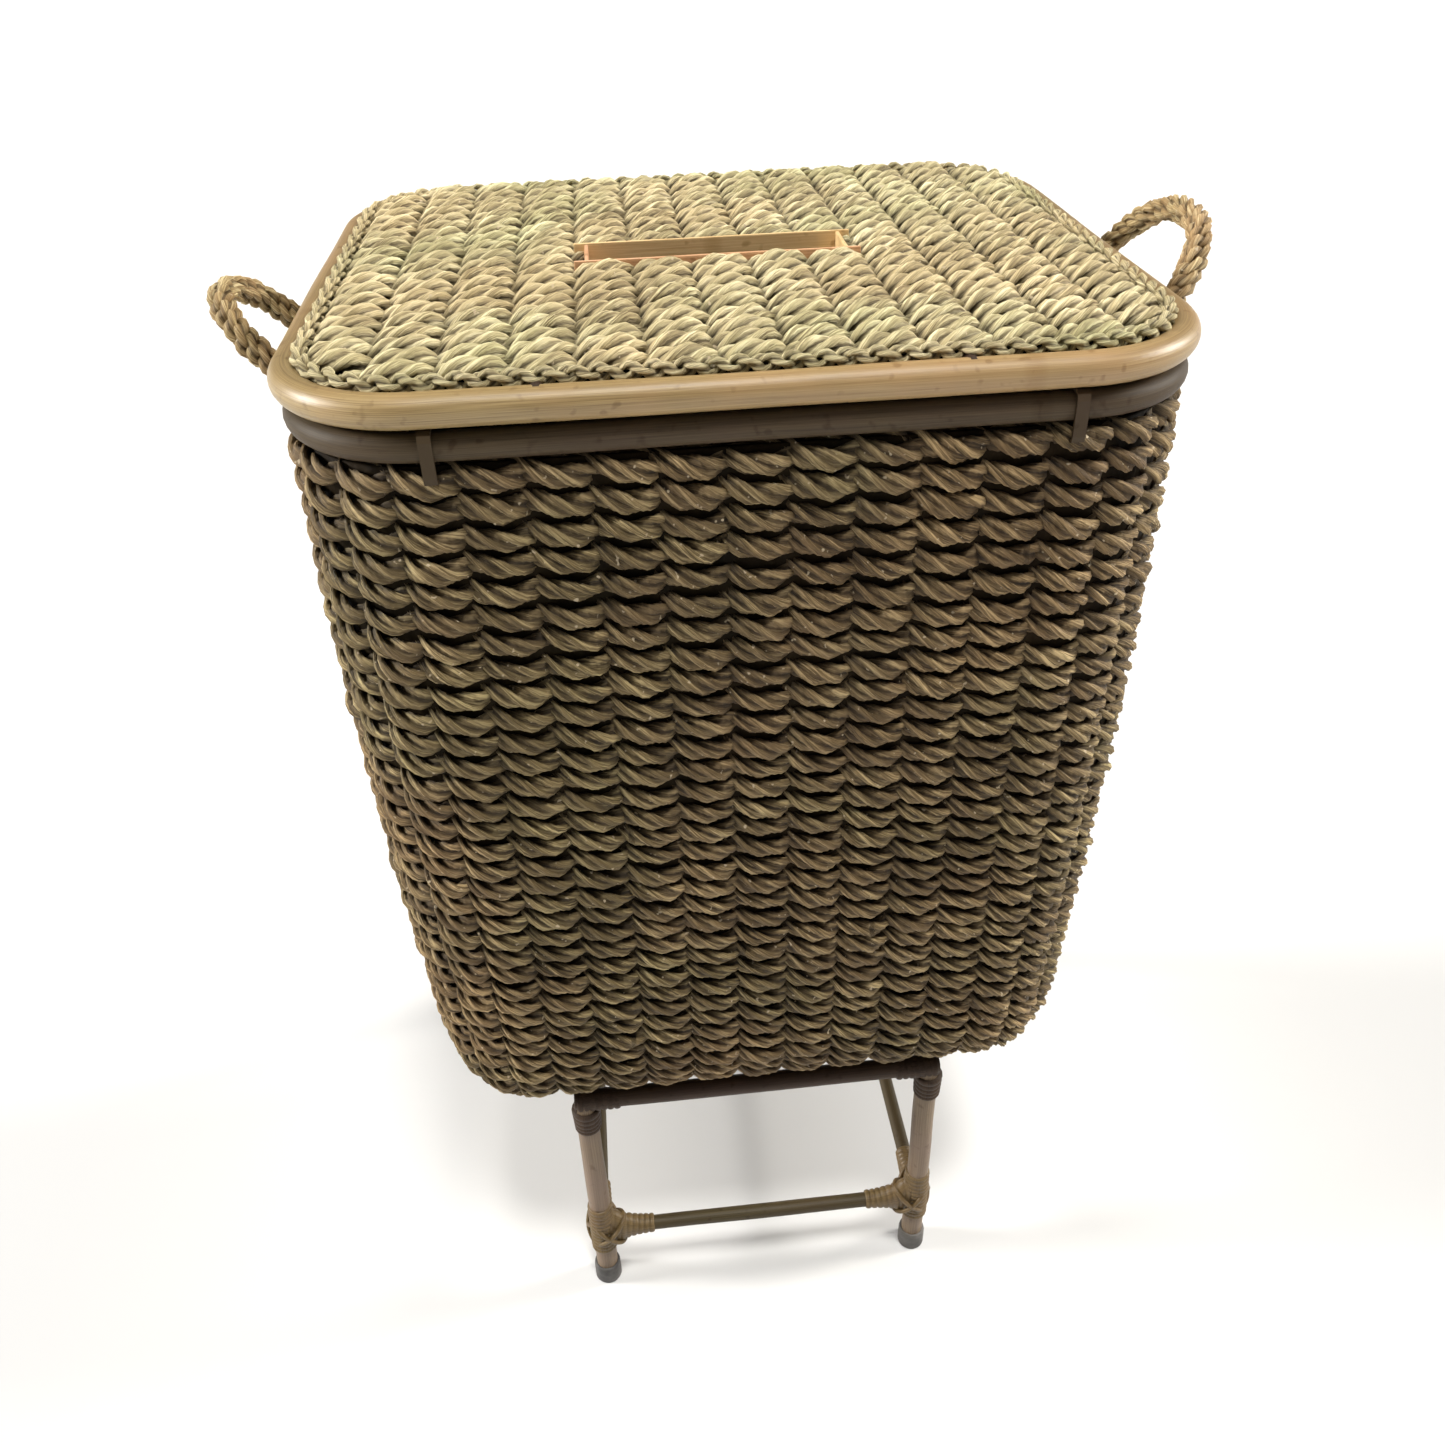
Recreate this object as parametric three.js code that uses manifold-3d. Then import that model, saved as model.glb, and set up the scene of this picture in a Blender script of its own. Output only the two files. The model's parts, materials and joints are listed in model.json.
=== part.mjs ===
// Woven laundry basket: a twined seagrass body on a rattan frame, a lift-off lid with a
// hand slot, two rope loop handles and a four-legged rattan stand.
// Millimetres, +Z up, the front faces -Y, the origin is on the floor under the middle.

import * as THREE from 'three';
import { mergeVertices } from 'three/addons/utils/BufferGeometryUtils.js';
import Module from 'manifold-3d';

const wasm = await Module();
wasm.setup();

// ---------------------------------------------------------------- driving dimensions

const GAP = 0.3;                 // clearance between neighbouring pieces
const TIE_THICKNESS = 1.5;       // cane lashings are thin bands
const TIE_WIDTH = 6;

const POLE_SIDES = 10;
const HOOP_SIDES = 8;
const CORNER_STEPS = 4;

// Stand
const LEG_X = 120;               // leg axes, half the spacing
const LEG_Y = 154;
const LEG_RADIUS = 8;
const RAIL_RADIUS = 7;
const RAIL_Z = 210;
const RAIL_HALF_LENGTH = 127;
const STRETCHER_RADIUS = 5.5;
const STRETCHER_Z = 60;
const FOOT_RADIUS = 10;
const FOOT_HEIGHT = 18;
const FOOT_FLOOR = 3;            // thickness of the cap under the leg
const WRAP_SKIN = 2;             // thickness of the cane binding

// Woven body. The base rounded rectangle is its outline at the rim.
const BODY_WIDTH = 432;
const BODY_DEPTH = 378;
const BODY_CORNER = 68;
const WALL = 12;
const BODY_BOTTOM = RAIL_Z + RAIL_RADIUS + GAP;
const BODY_HEIGHT = 477.6;
const BODY_TOP = BODY_BOTTOM + BODY_HEIGHT;
const BODY_TAPER = 8;           // how far each side leans in, from rim to base
const BODY_BULGE = 5;            // how far each side bows out at half height
const BASE_ROUND = 48;           // how far in the rounded bottom edge reaches
const BASE_ROUND_HEIGHT = 72;

// Frame hoops of the basket
const RIM_RADIUS = 7;
const RIM_OFFSET = -6;
const RIM_Z = BODY_TOP + GAP + RIM_RADIUS;
const INNER_RADIUS = 5;
const INNER_RIM_OFFSET = -WALL - GAP - INNER_RADIUS;
const INNER_RIM_Z = BODY_TOP - 1.9;
const BASE_HOOP_OFFSET = -BODY_TAPER - BASE_ROUND;
const BASE_HOOP_Z = BODY_BOTTOM + WALL + GAP + INNER_RADIUS;
const BASE_BAR_RADIUS = 4.5;
const BASE_TIE_Y = 70;
const RIM_TIE_X = 145;

// Lid
const LID_WIDTH = 440;
const LID_DEPTH = 386;
const LID_CORNER = 72;
const LID_RIM_RADIUS = 8;
const LID_RIM_Z = RIM_Z + RIM_RADIUS + TIE_THICKNESS + 2 * GAP + LID_RIM_RADIUS;
const LID_TOP = LID_RIM_Z + LID_RIM_RADIUS;
const BORDER_RADIUS = 5;
const BORDER_INSET = 13.5;       // the border rope lies on the inner side of the lid rim
const BORDER_CLEARANCE = LID_RIM_RADIUS + BORDER_RADIUS + 2 * GAP;
const BORDER_Z = LID_RIM_Z + Math.sqrt(BORDER_CLEARANCE ** 2 - (BORDER_INSET - LID_RIM_RADIUS) ** 2);
const PANEL_THICKNESS = 13;
const PANEL_TOP = LID_TOP + 4;
const LID_BAR_RADIUS = 3.5;
const LID_BAR_X = 95;
const LID_BAR_Z = PANEL_TOP - 7;
const LID_HOOP_OFFSET = -30.6;
const SLOT_LENGTH = 139;
const SLOT_WIDTH = 33;
const SLOT_STRIP = 2;
const SLOT_STRIP_OVERRUN = 8;    // the long strips run past the corners of the slot

// Rope handles
const ROPE_RADIUS = 7.5;
const HANDLE_REACH = 42;         // how far the top of each loop leans out past its roots
const HANDLES = [                // spread is half the distance between the two roots
  { place: 'left', sx: -1, spread: 37, rise: 43 },
  { place: 'right', sx: 1, spread: 51, rise: 58 },
];
const HANDLE_Z = BODY_TOP - 17;
const HANDLE_ROOT_X = BODY_WIDTH / 2 + ROPE_RADIUS + 0.9;

// ---------------------------------------------------------------- materials

const material = (color, roughness) => new THREE.MeshStandardMaterial({ color, roughness, metalness: 0 });
const CANE = material(0xb08d57, 0.45);
const DARK_CANE = material(0x7a5c3a, 0.55);
const BINDING = material(0x8a6a3e, 0.6);
const STRIP = material(0xc09a6b, 0.5);
const SEAGRASS = material(0x8f8258, 0.85);
const LID_SEAGRASS = material(0xc2b283, 0.85);
const ROPE = material(0xa8936a, 0.85);
const CAP = material(0x6d6a66, 0.7);

// ---------------------------------------------------------------- solids

const model = new THREE.Group();

function addMesh(name, geometry, finish) {
  const mesh = new THREE.Mesh(geometry, finish);
  mesh.name = name;
  model.add(mesh);
}

function toSolid(geometry) {
  const bare = geometry.clone();
  bare.deleteAttribute('normal');
  bare.deleteAttribute('uv');
  const merged = mergeVertices(bare, 1e-4);
  return new wasm.Manifold(new wasm.Mesh({
    numProp: 3,
    vertProperties: new Float32Array(merged.attributes.position.array),
    triVerts: new Uint32Array(merged.index.array),
  }));
}

function toGeometry(solid) {
  const mesh = solid.getMesh();
  const geometry = new THREE.BufferGeometry();
  geometry.setAttribute('position', new THREE.BufferAttribute(mesh.vertProperties, 3));
  geometry.setIndex(new THREE.BufferAttribute(mesh.triVerts, 1));
  geometry.computeVertexNormals();
  return geometry;
}

function addSolid(name, solid, finish) {
  addMesh(name, toGeometry(solid), finish);
}

function cutAll(solid, tools) {
  return tools.reduce((result, tool) => result.subtract(tool), solid);
}

function joinAll(solids) {
  return solids.reduce((result, solid) => result.add(solid));
}

// A straight pole between two points.
function pole(start, end, radius, sides = POLE_SIDES) {
  const axis = new THREE.Vector3().subVectors(end, start);
  const geometry = new THREE.CylinderGeometry(radius, radius, axis.length(), sides);
  const turn = new THREE.Quaternion().setFromUnitVectors(new THREE.Vector3(0, 1, 0), axis.clone().normalize());
  geometry.applyQuaternion(turn);
  const middle = start.clone().add(end).multiplyScalar(0.5);
  geometry.translate(middle.x, middle.y, middle.z);
  return geometry;
}

function block(width, depth, height, x, y, z) {
  return new THREE.BoxGeometry(width, depth, height).translate(x, y, z);
}

// Points of a rounded rectangle with their outward directions.
function outline(width, depth, corner) {
  const places = [];
  const centres = [[1, 1], [-1, 1], [-1, -1], [1, -1]];
  centres.forEach(([sx, sy], quarter) => {
    for (let step = 0; step <= CORNER_STEPS; step += 1) {
      const angle = (quarter + step / CORNER_STEPS) * Math.PI / 2;
      const nx = Math.cos(angle);
      const ny = Math.sin(angle);
      places.push({
        x: sx * (width / 2 - corner) + corner * nx,
        y: sy * (depth / 2 - corner) + corner * ny,
        nx,
        ny,
      });
    }
  });
  return places;
}

// A closed section of [offset, z] points carried round a rounded rectangle.
function ring(width, depth, corner, section) {
  const places = outline(width, depth, corner);
  const positions = [];
  const index = [];
  const count = section.length;
  places.forEach((place) => {
    section.forEach(([offset, z]) => {
      positions.push(place.x + place.nx * offset, place.y + place.ny * offset, z);
    });
  });
  for (let i = 0; i < places.length; i += 1) {
    for (let j = 0; j < count; j += 1) {
      const a = i * count + j;
      const b = i * count + (j + 1) % count;
      const c = ((i + 1) % places.length) * count + j;
      const d = ((i + 1) % places.length) * count + (j + 1) % count;
      index.push(a, c, b, b, c, d);
    }
  }
  const geometry = new THREE.BufferGeometry();
  geometry.setAttribute('position', new THREE.Float32BufferAttribute(positions, 3));
  geometry.setIndex(index);
  geometry.computeVertexNormals();
  return geometry;
}

function circleSection(offset, z, radius, sides = HOOP_SIDES) {
  return Array.from({ length: sides }, (_, k) => {
    const angle = 2 * Math.PI * k / sides;
    return [offset + radius * Math.cos(angle), z + radius * Math.sin(angle)];
  });
}

const bodyHoop = (offset, z, radius) => (
  ring(BODY_WIDTH, BODY_DEPTH, BODY_CORNER, circleSection(offset, z, radius))
);

// A flat sheet with a rounded rectangular outline.
function sheet(width, depth, corner, bottom, thickness) {
  const shape = new THREE.Shape(outline(width, depth, corner).map(({ x, y }) => new THREE.Vector2(x, y)));
  return new THREE.ExtrudeGeometry(shape, { depth: thickness, bevelEnabled: false }).translate(0, 0, bottom);
}

function roundedShape(width, height, corner) {
  const x = width / 2;
  const y = height / 2;
  const shape = new THREE.Shape();
  shape.moveTo(-x + corner, -y);
  shape.lineTo(x - corner, -y);
  shape.quadraticCurveTo(x, -y, x, -y + corner);
  shape.lineTo(x, y - corner);
  shape.quadraticCurveTo(x, y, x - corner, y);
  shape.lineTo(-x + corner, y);
  shape.quadraticCurveTo(-x, y, -x, y - corner);
  shape.lineTo(-x, -y + corner);
  shape.quadraticCurveTo(-x, -y, -x + corner, -y);
  return shape;
}

// A lashing: a closed band in the local XY plane, round an opening of the given size.
function lashing(openWidth, openHeight, skin, bandWidth) {
  const shape = roundedShape(openWidth + 2 * skin, openHeight + 2 * skin, 4);
  shape.holes.push(roundedShape(openWidth, openHeight, 2.5));
  const band = new THREE.ExtrudeGeometry(shape, { depth: bandWidth, bevelEnabled: false, curveSegments: 2 });
  return band.translate(0, 0, -bandWidth / 2);
}

function rope(points, radius, steps, sides = HOOP_SIDES) {
  const section = new THREE.Shape();
  for (let k = 0; k < sides; k += 1) {
    const angle = 2 * Math.PI * k / sides;
    section[k ? 'lineTo' : 'moveTo'](radius * Math.cos(angle), radius * Math.sin(angle));
  }
  const path = new THREE.CatmullRomCurve3(points, false, 'centripetal');
  return new THREE.ExtrudeGeometry(section, { steps, extrudePath: path, bevelEnabled: false });
}

const at = (x, y, z) => new THREE.Vector3(x, y, z);
const CORNERS = [
  ['front_left', -1, -1],
  ['front_right', 1, -1],
  ['rear_left', -1, 1],
  ['rear_right', 1, 1],
];

// ---------------------------------------------------------------- stand

const leg = (sx, sy, extra = 0) => (
  pole(at(sx * LEG_X, sy * LEG_Y, FOOT_FLOOR + GAP), at(sx * LEG_X, sy * LEG_Y, RAIL_Z), LEG_RADIUS + extra)
);
const longRail = (sy, extra = 0) => (
  pole(
    at(-RAIL_HALF_LENGTH - extra, sy * LEG_Y, RAIL_Z),
    at(RAIL_HALF_LENGTH + extra, sy * LEG_Y, RAIL_Z),
    RAIL_RADIUS + extra,
  )
);
const sideRail = (sx, extra = 0) => (
  pole(at(sx * LEG_X, -LEG_Y, RAIL_Z), at(sx * LEG_X, LEG_Y, RAIL_Z), RAIL_RADIUS + extra)
);
const longStretcher = (sy, extra = 0) => (
  pole(at(-LEG_X, sy * LEG_Y, STRETCHER_Z), at(LEG_X, sy * LEG_Y, STRETCHER_Z), STRETCHER_RADIUS + extra)
);
const sideStretcher = (sx, extra = 0) => (
  pole(at(sx * LEG_X, -LEG_Y, STRETCHER_Z), at(sx * LEG_X, LEG_Y, STRETCHER_Z), STRETCHER_RADIUS + extra)
);

function addStandPoles() {
  const railTools = [-1, 1].map((sy) => toSolid(longRail(sy, GAP)));
  const legTools = CORNERS.map(([, sx, sy]) => toSolid(leg(sx, sy, GAP)));
  CORNERS.forEach(([place, sx, sy]) => {
    addSolid(`leg_${place}`, cutAll(toSolid(leg(sx, sy)), railTools), CANE);
  });
  [['front', -1], ['rear', 1]].forEach(([place, sy]) => {
    addMesh(`stand_rail_${place}`, longRail(sy), DARK_CANE);
    addSolid(`stretcher_${place}`, cutAll(toSolid(longStretcher(sy)), legTools), CANE);
  });
  [['left', -1], ['right', 1]].forEach(([place, sx]) => {
    addSolid(`stand_rail_${place}`, cutAll(toSolid(sideRail(sx)), [...railTools, ...legTools]), DARK_CANE);
    addSolid(`stretcher_${place}`, cutAll(toSolid(sideStretcher(sx)), legTools), CANE);
  });
}

// The bound web that fills the angle between a leg and a stretcher.
// u runs inward along the stretcher from the leg's axis, v runs up from the stretcher's axis.
function web(thickness) {
  const reach = 32;
  const shape = new THREE.Shape();
  shape.moveTo(0, -18);
  shape.lineTo(LEG_RADIUS + 1, -18);
  shape.quadraticCurveTo(LEG_RADIUS + 3, -8, reach, -STRETCHER_RADIUS - 1);
  shape.lineTo(reach, STRETCHER_RADIUS + 1);
  shape.quadraticCurveTo(LEG_RADIUS + 3, 10, LEG_RADIUS + 1, 34);
  shape.lineTo(0, 34);
  shape.closePath();
  const plate = new THREE.ExtrudeGeometry(shape, { depth: thickness, bevelEnabled: false, curveSegments: 4 });
  return plate.translate(0, 0, -thickness / 2).rotateX(Math.PI / 2);
}

function lowerWrap(sx, sy) {
  const reach = 38;
  const x = sx * LEG_X;
  const y = sy * LEG_Y;
  const skin = STRETCHER_RADIUS + WRAP_SKIN;
  const alongX = web(9).rotateZ(sx > 0 ? Math.PI : 0).translate(x, y, STRETCHER_Z);
  const alongY = web(9).rotateZ(sy > 0 ? -Math.PI / 2 : Math.PI / 2).translate(x, y, STRETCHER_Z);
  const envelope = joinAll([
    pole(at(x, y, STRETCHER_Z - 20), at(x, y, STRETCHER_Z + 30), LEG_RADIUS + WRAP_SKIN),
    pole(at(x, y, STRETCHER_Z), at(x - sx * reach, y, STRETCHER_Z), skin),
    pole(at(x, y, STRETCHER_Z), at(x, y - sy * reach, STRETCHER_Z), skin),
    alongX,
    alongY,
  ].map(toSolid));
  return cutAll(envelope, [leg(sx, sy, GAP), longStretcher(sy, GAP), sideStretcher(sx, GAP)].map(toSolid));
}

function upperWrap(sx, sy) {
  const reach = 24;
  const x = sx * LEG_X;
  const y = sy * LEG_Y;
  const skin = RAIL_RADIUS + WRAP_SKIN;
  const envelope = joinAll([
    pole(at(x, y, RAIL_Z - 26), at(x, y, RAIL_Z), LEG_RADIUS + WRAP_SKIN),
    pole(at(x + sx * 6, y, RAIL_Z), at(x - sx * reach, y, RAIL_Z), skin),
    pole(at(x, y, RAIL_Z), at(x, y - sy * reach, RAIL_Z), skin),
  ].map(toSolid));
  const seat = block(80, 80, 20, x, y, RAIL_Z + RAIL_RADIUS - GAP + 10);
  return cutAll(envelope, [leg(sx, sy, GAP), longRail(sy, GAP), sideRail(sx, GAP), seat].map(toSolid));
}

function footCap() {
  const bore = LEG_RADIUS + GAP;
  const profile = [
    [0, 0],
    [FOOT_RADIUS - 1, 0],
    [FOOT_RADIUS, 1],
    [FOOT_RADIUS, FOOT_HEIGHT],
    [bore, FOOT_HEIGHT],
    [bore, FOOT_FLOOR],
    [0, FOOT_FLOOR],
  ].map(([r, z]) => new THREE.Vector2(r, z));
  return new THREE.LatheGeometry(profile, 12).rotateX(Math.PI / 2);
}

function addStandJoints() {
  CORNERS.forEach(([place, sx, sy]) => {
    addSolid(`binding_lower_${place}`, lowerWrap(sx, sy), BINDING);
    addSolid(`binding_upper_${place}`, upperWrap(sx, sy), DARK_CANE);
    addMesh(`foot_cap_${place}`, footCap().translate(sx * LEG_X, sy * LEG_Y, 0), CAP);
  });
}

// ---------------------------------------------------------------- basket

// How far the outer face stands from the base outline at height z.
function sideOffset(z) {
  const t = (BODY_TOP - z) / (BODY_TOP - BODY_BOTTOM - BASE_ROUND_HEIGHT);
  return -BODY_TAPER * t + BODY_BULGE * 4 * t * (1 - t);
}

// The same down into the rounded bottom edge.
function faceOffset(z) {
  const drop = (BODY_BOTTOM + BASE_ROUND_HEIGHT - z) / BASE_ROUND_HEIGHT;
  return drop < 0 ? sideOffset(z) : BASE_HOOP_OFFSET + BASE_ROUND * Math.sqrt(1 - drop * drop);
}

function wallSection() {
  const edgeSteps = 4;
  const sideSteps = 5;
  const edgeZ = BODY_BOTTOM + BASE_ROUND_HEIGHT;
  const outer = [];
  const inner = [];
  for (let k = 0; k <= edgeSteps; k += 1) {
    const angle = k / edgeSteps * Math.PI / 2;
    const sine = Math.sin(angle);
    const cosine = Math.cos(angle);
    outer.push([BASE_HOOP_OFFSET + BASE_ROUND * sine, edgeZ - BASE_ROUND_HEIGHT * cosine]);
    inner.push([BASE_HOOP_OFFSET + (BASE_ROUND - WALL) * sine, edgeZ - (BASE_ROUND_HEIGHT - WALL) * cosine]);
  }
  for (let k = 1; k <= sideSteps; k += 1) {
    const z = edgeZ + (BODY_TOP - edgeZ) * k / sideSteps;
    outer.push([sideOffset(z), z]);
    inner.push([sideOffset(z) - WALL, z]);
  }
  return [...outer, ...inner.reverse()];
}

function handleHole({ sx, spread }, end) {
  const y = end * spread;
  const face = BODY_WIDTH / 2;
  return pole(at(sx * (face - WALL / 2), y, HANDLE_Z), at(sx * (face + WALL), y, HANDLE_Z), ROPE_RADIUS + GAP);
}

// Lashing over the rim, the wall and the inner rim, near the middle of the front or rear.
function rimTie(sx, sy, extra = 0) {
  const top = RIM_Z + RIM_RADIUS + GAP;
  const bottom = INNER_RIM_Z - INNER_RADIUS - GAP;
  const outside = BODY_DEPTH / 2 + RIM_OFFSET + RIM_RADIUS + GAP;
  const inside = BODY_DEPTH / 2 + INNER_RIM_OFFSET - INNER_RADIUS - GAP;
  const band = lashing(
    outside - inside - 2 * extra,
    top - bottom - 2 * extra,
    TIE_THICKNESS + 2 * extra,
    TIE_WIDTH + 2 * extra,
  );
  band.rotateY(Math.PI / 2).rotateX(Math.PI / 2);
  return band.translate(sx * RIM_TIE_X, sy * (outside + inside) / 2, (top + bottom) / 2);
}

// Lashing round a side rail of the stand and the base bar above it.
function baseTie(sx, sy, extra = 0) {
  const top = BODY_BOTTOM + WALL + GAP + 2 * BASE_BAR_RADIUS + GAP;
  const bottom = RAIL_Z - RAIL_RADIUS - GAP;
  const band = lashing(
    2 * RAIL_RADIUS + 2 * GAP - 2 * extra,
    top - bottom - 2 * extra,
    TIE_THICKNESS + 2 * extra,
    TIE_WIDTH + 2 * extra,
  );
  return band.rotateX(Math.PI / 2).translate(sx * LEG_X, sy * BASE_TIE_Y, (top + bottom) / 2);
}

function addBasket() {
  const shell = toSolid(ring(BODY_WIDTH, BODY_DEPTH, BODY_CORNER, wallSection()));
  const holes = HANDLES.flatMap((handle) => (
    [handleHole(handle, -1), handleHole(handle, 1), handleTail(handle, GAP)]
  )).map(toSolid);
  const tieTools = CORNERS.map(([, sx, sy]) => toSolid(rimTie(sx, sy, GAP)));
  addSolid('woven_body', cutAll(shell, [...holes, ...tieTools]), SEAGRASS);

  const baseInset = 2 * (BASE_HOOP_OFFSET - GAP);
  const base = toSolid(sheet(
    BODY_WIDTH + baseInset,
    BODY_DEPTH + baseInset,
    BODY_CORNER + baseInset / 2,
    BODY_BOTTOM,
    WALL,
  ));
  const baseTieTools = CORNERS.map(([, sx, sy]) => toSolid(baseTie(sx, sy, GAP)));
  addSolid('woven_base', cutAll(base, baseTieTools), SEAGRASS);

  addMesh('basket_rim', bodyHoop(RIM_OFFSET, RIM_Z, RIM_RADIUS), CANE);
  addMesh('inner_rim', bodyHoop(INNER_RIM_OFFSET, INNER_RIM_Z, INNER_RADIUS), DARK_CANE);
  addMesh('base_hoop', bodyHoop(BASE_HOOP_OFFSET, BASE_HOOP_Z, INNER_RADIUS), DARK_CANE);
  CORNERS.forEach(([place, sx, sy]) => {
    addMesh(`rim_tie_${place}`, rimTie(sx, sy), STRIP);
    addMesh(`base_tie_${place}`, baseTie(sx, sy), STRIP);
  });
}

// Corner posts follow the inside of the wall, from the base hoop to the inner rim.
function cornerPost(sx, sy) {
  const diagonal = Math.SQRT1_2;
  const place = (offset, z) => at(
    sx * (BODY_WIDTH / 2 - BODY_CORNER + (BODY_CORNER + offset) * diagonal),
    sy * (BODY_DEPTH / 2 - BODY_CORNER + (BODY_CORNER + offset) * diagonal),
    z,
  );
  const stand = WALL + 2 * GAP + BASE_BAR_RADIUS + 1.2;
  const points = [place(BASE_HOOP_OFFSET + 6, BASE_HOOP_Z + 5)];
  [0.1, 0.24, 0.49, 0.74, 0.91].forEach((share) => {
    const z = BODY_BOTTOM + share * BODY_HEIGHT;
    points.push(place(faceOffset(z) - stand, z));
  });
  points.push(place(INNER_RIM_OFFSET, INNER_RIM_Z));
  return rope(points, BASE_BAR_RADIUS, 12, 8);
}

function addFrame() {
  const hoopTools = [
    bodyHoop(INNER_RIM_OFFSET, INNER_RIM_Z, INNER_RADIUS + GAP),
    bodyHoop(BASE_HOOP_OFFSET, BASE_HOOP_Z, INNER_RADIUS + GAP),
  ].map(toSolid);
  CORNERS.forEach(([place, sx, sy]) => {
    addSolid(`corner_post_${place}`, cutAll(toSolid(cornerPost(sx, sy)), hoopTools), DARK_CANE);
  });
  const barZ = BODY_BOTTOM + WALL + GAP + BASE_BAR_RADIUS;
  const reach = BODY_DEPTH / 2 + BASE_HOOP_OFFSET;
  [['left', -1], ['right', 1]].forEach(([place, sx]) => {
    const bar = pole(at(sx * LEG_X, -reach, barZ), at(sx * LEG_X, reach, barZ), BASE_BAR_RADIUS);
    addSolid(`base_bar_${place}`, cutAll(toSolid(bar), hoopTools), DARK_CANE);
  });
}

// ---------------------------------------------------------------- handles

// The loop stands over its two roots in a plane that tilts outward.
function handleLoop({ sx, spread, rise }) {
  const half = [[1, 0], [1.03, 0.3], [0.86, 0.7], [0.47, 0.94]];
  const route = [
    ...half.map(([y, h]) => [-y, h]),
    [0, 1],
    ...half.map(([y, h]) => [y, h]).reverse(),
  ];
  const points = route.map(([y, h]) => at(
    sx * (HANDLE_ROOT_X + h * HANDLE_REACH),
    y * spread,
    HANDLE_Z + h * rise,
  ));
  const roots = [points[0], points[points.length - 1]].map((root) => (
    new THREE.SphereGeometry(ROPE_RADIUS - 0.1, 10, 6).translate(root.x, root.y, root.z)
  ));
  return joinAll([rope(points, ROPE_RADIUS, 20), ...roots].map(toSolid));
}

// The part of the rope inside the basket: in through one hole and out through the other.
function handleTail({ sx, spread }, extra = 0) {
  const face = sx * (BODY_WIDTH / 2 - 0.6);
  const inside = sx * (BODY_WIDTH / 2 - WALL - 2 * GAP - ROPE_RADIUS - 1.6);
  const turn = sx * (BODY_WIDTH / 2 - WALL - 2.5);
  const route = [
    [face, -1],
    [turn, -1],
    [inside, -0.78],
    [inside, -0.4],
    [inside, 0.4],
    [inside, 0.78],
    [turn, 1],
    [face, 1],
  ];
  const points = route.map(([x, y]) => at(x, y * spread, HANDLE_Z));
  return rope(points, ROPE_RADIUS + extra, 16);
}

function addHandles() {
  HANDLES.forEach((handle) => {
    addSolid(`handle_loop_${handle.place}`, handleLoop(handle), ROPE);
    addMesh(`handle_tail_${handle.place}`, handleTail(handle), ROPE);
  });
}

// ---------------------------------------------------------------- lid

const lidHoop = (inset, z, radius) => (
  ring(LID_WIDTH, LID_DEPTH, LID_CORNER, circleSection(-inset, z, radius))
);
const lidBar = (sx, extra = 0) => {
  const reach = LID_DEPTH / 2 - LID_RIM_RADIUS;
  return pole(at(sx * LID_BAR_X, -reach, LID_BAR_Z), at(sx * LID_BAR_X, reach, LID_BAR_Z), LID_BAR_RADIUS + extra);
};

function longStrip(sy, extra = 0) {
  const length = SLOT_LENGTH + 2 * SLOT_STRIP_OVERRUN;
  const y = sy * (SLOT_WIDTH + SLOT_STRIP) / 2;
  const height = PANEL_THICKNESS + 1.4;
  return block(length + 2 * extra, SLOT_STRIP + 2 * extra, height + 2 * extra, 0, y, PANEL_TOP - height / 2 + 1);
}

function shortStrip(sx, extra = 0) {
  const x = sx * (SLOT_LENGTH + SLOT_STRIP) / 2;
  const width = SLOT_WIDTH - 2 * GAP;
  const height = PANEL_THICKNESS + 0.6;
  return block(SLOT_STRIP + 2 * extra, width + 2 * extra, height + 2 * extra, x, 0, PANEL_TOP - height / 2 + 0.6);
}

function addLid() {
  addMesh('lid_rim', lidHoop(LID_RIM_RADIUS, LID_RIM_Z, LID_RIM_RADIUS), CANE);

  const barTools = [-1, 1].map((sx) => toSolid(lidBar(sx, GAP)));
  const border = toSolid(lidHoop(BORDER_INSET, BORDER_Z, BORDER_RADIUS));
  addSolid('lid_border_rope', cutAll(border, barTools), LID_SEAGRASS);

  const panelInset = BORDER_INSET + BORDER_RADIUS + GAP;
  const panel = toSolid(sheet(
    LID_WIDTH - 2 * panelInset,
    LID_DEPTH - 2 * panelInset,
    LID_CORNER - panelInset,
    PANEL_TOP - PANEL_THICKNESS,
    PANEL_THICKNESS,
  ));
  const slot = block(SLOT_LENGTH, SLOT_WIDTH + SLOT_STRIP, 60, 0, 0, PANEL_TOP);
  const stripTools = [-1, 1].flatMap((side) => [longStrip(side, GAP), shortStrip(side, GAP)]);
  addSolid('lid_panel', cutAll(panel, [...barTools, ...[slot, ...stripTools].map(toSolid)]), LID_SEAGRASS);

  const rimTool = toSolid(lidHoop(LID_RIM_RADIUS, LID_RIM_Z, LID_RIM_RADIUS + GAP));
  [['left', -1], ['right', 1]].forEach(([place, side]) => {
    addSolid(`lid_bar_${place}`, toSolid(lidBar(side)).subtract(rimTool), DARK_CANE);
    addMesh(`slot_strip_${place}`, shortStrip(side), STRIP);
  });
  [['front', -1], ['rear', 1]].forEach(([place, side]) => {
    addMesh(`slot_strip_${place}`, longStrip(side), STRIP);
  });

  const hoopZ = PANEL_TOP - PANEL_THICKNESS - GAP - INNER_RADIUS;
  addMesh('lid_inner_hoop', bodyHoop(LID_HOOP_OFFSET, hoopZ, INNER_RADIUS), DARK_CANE);
}

// ---------------------------------------------------------------- assembly

addStandPoles();
addStandJoints();
addBasket();
addFrame();
addHandles();
addLid();

export default model;
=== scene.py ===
import json
import math

import bmesh
import bpy
import numpy as np
from mathutils import Matrix, Vector


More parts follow.
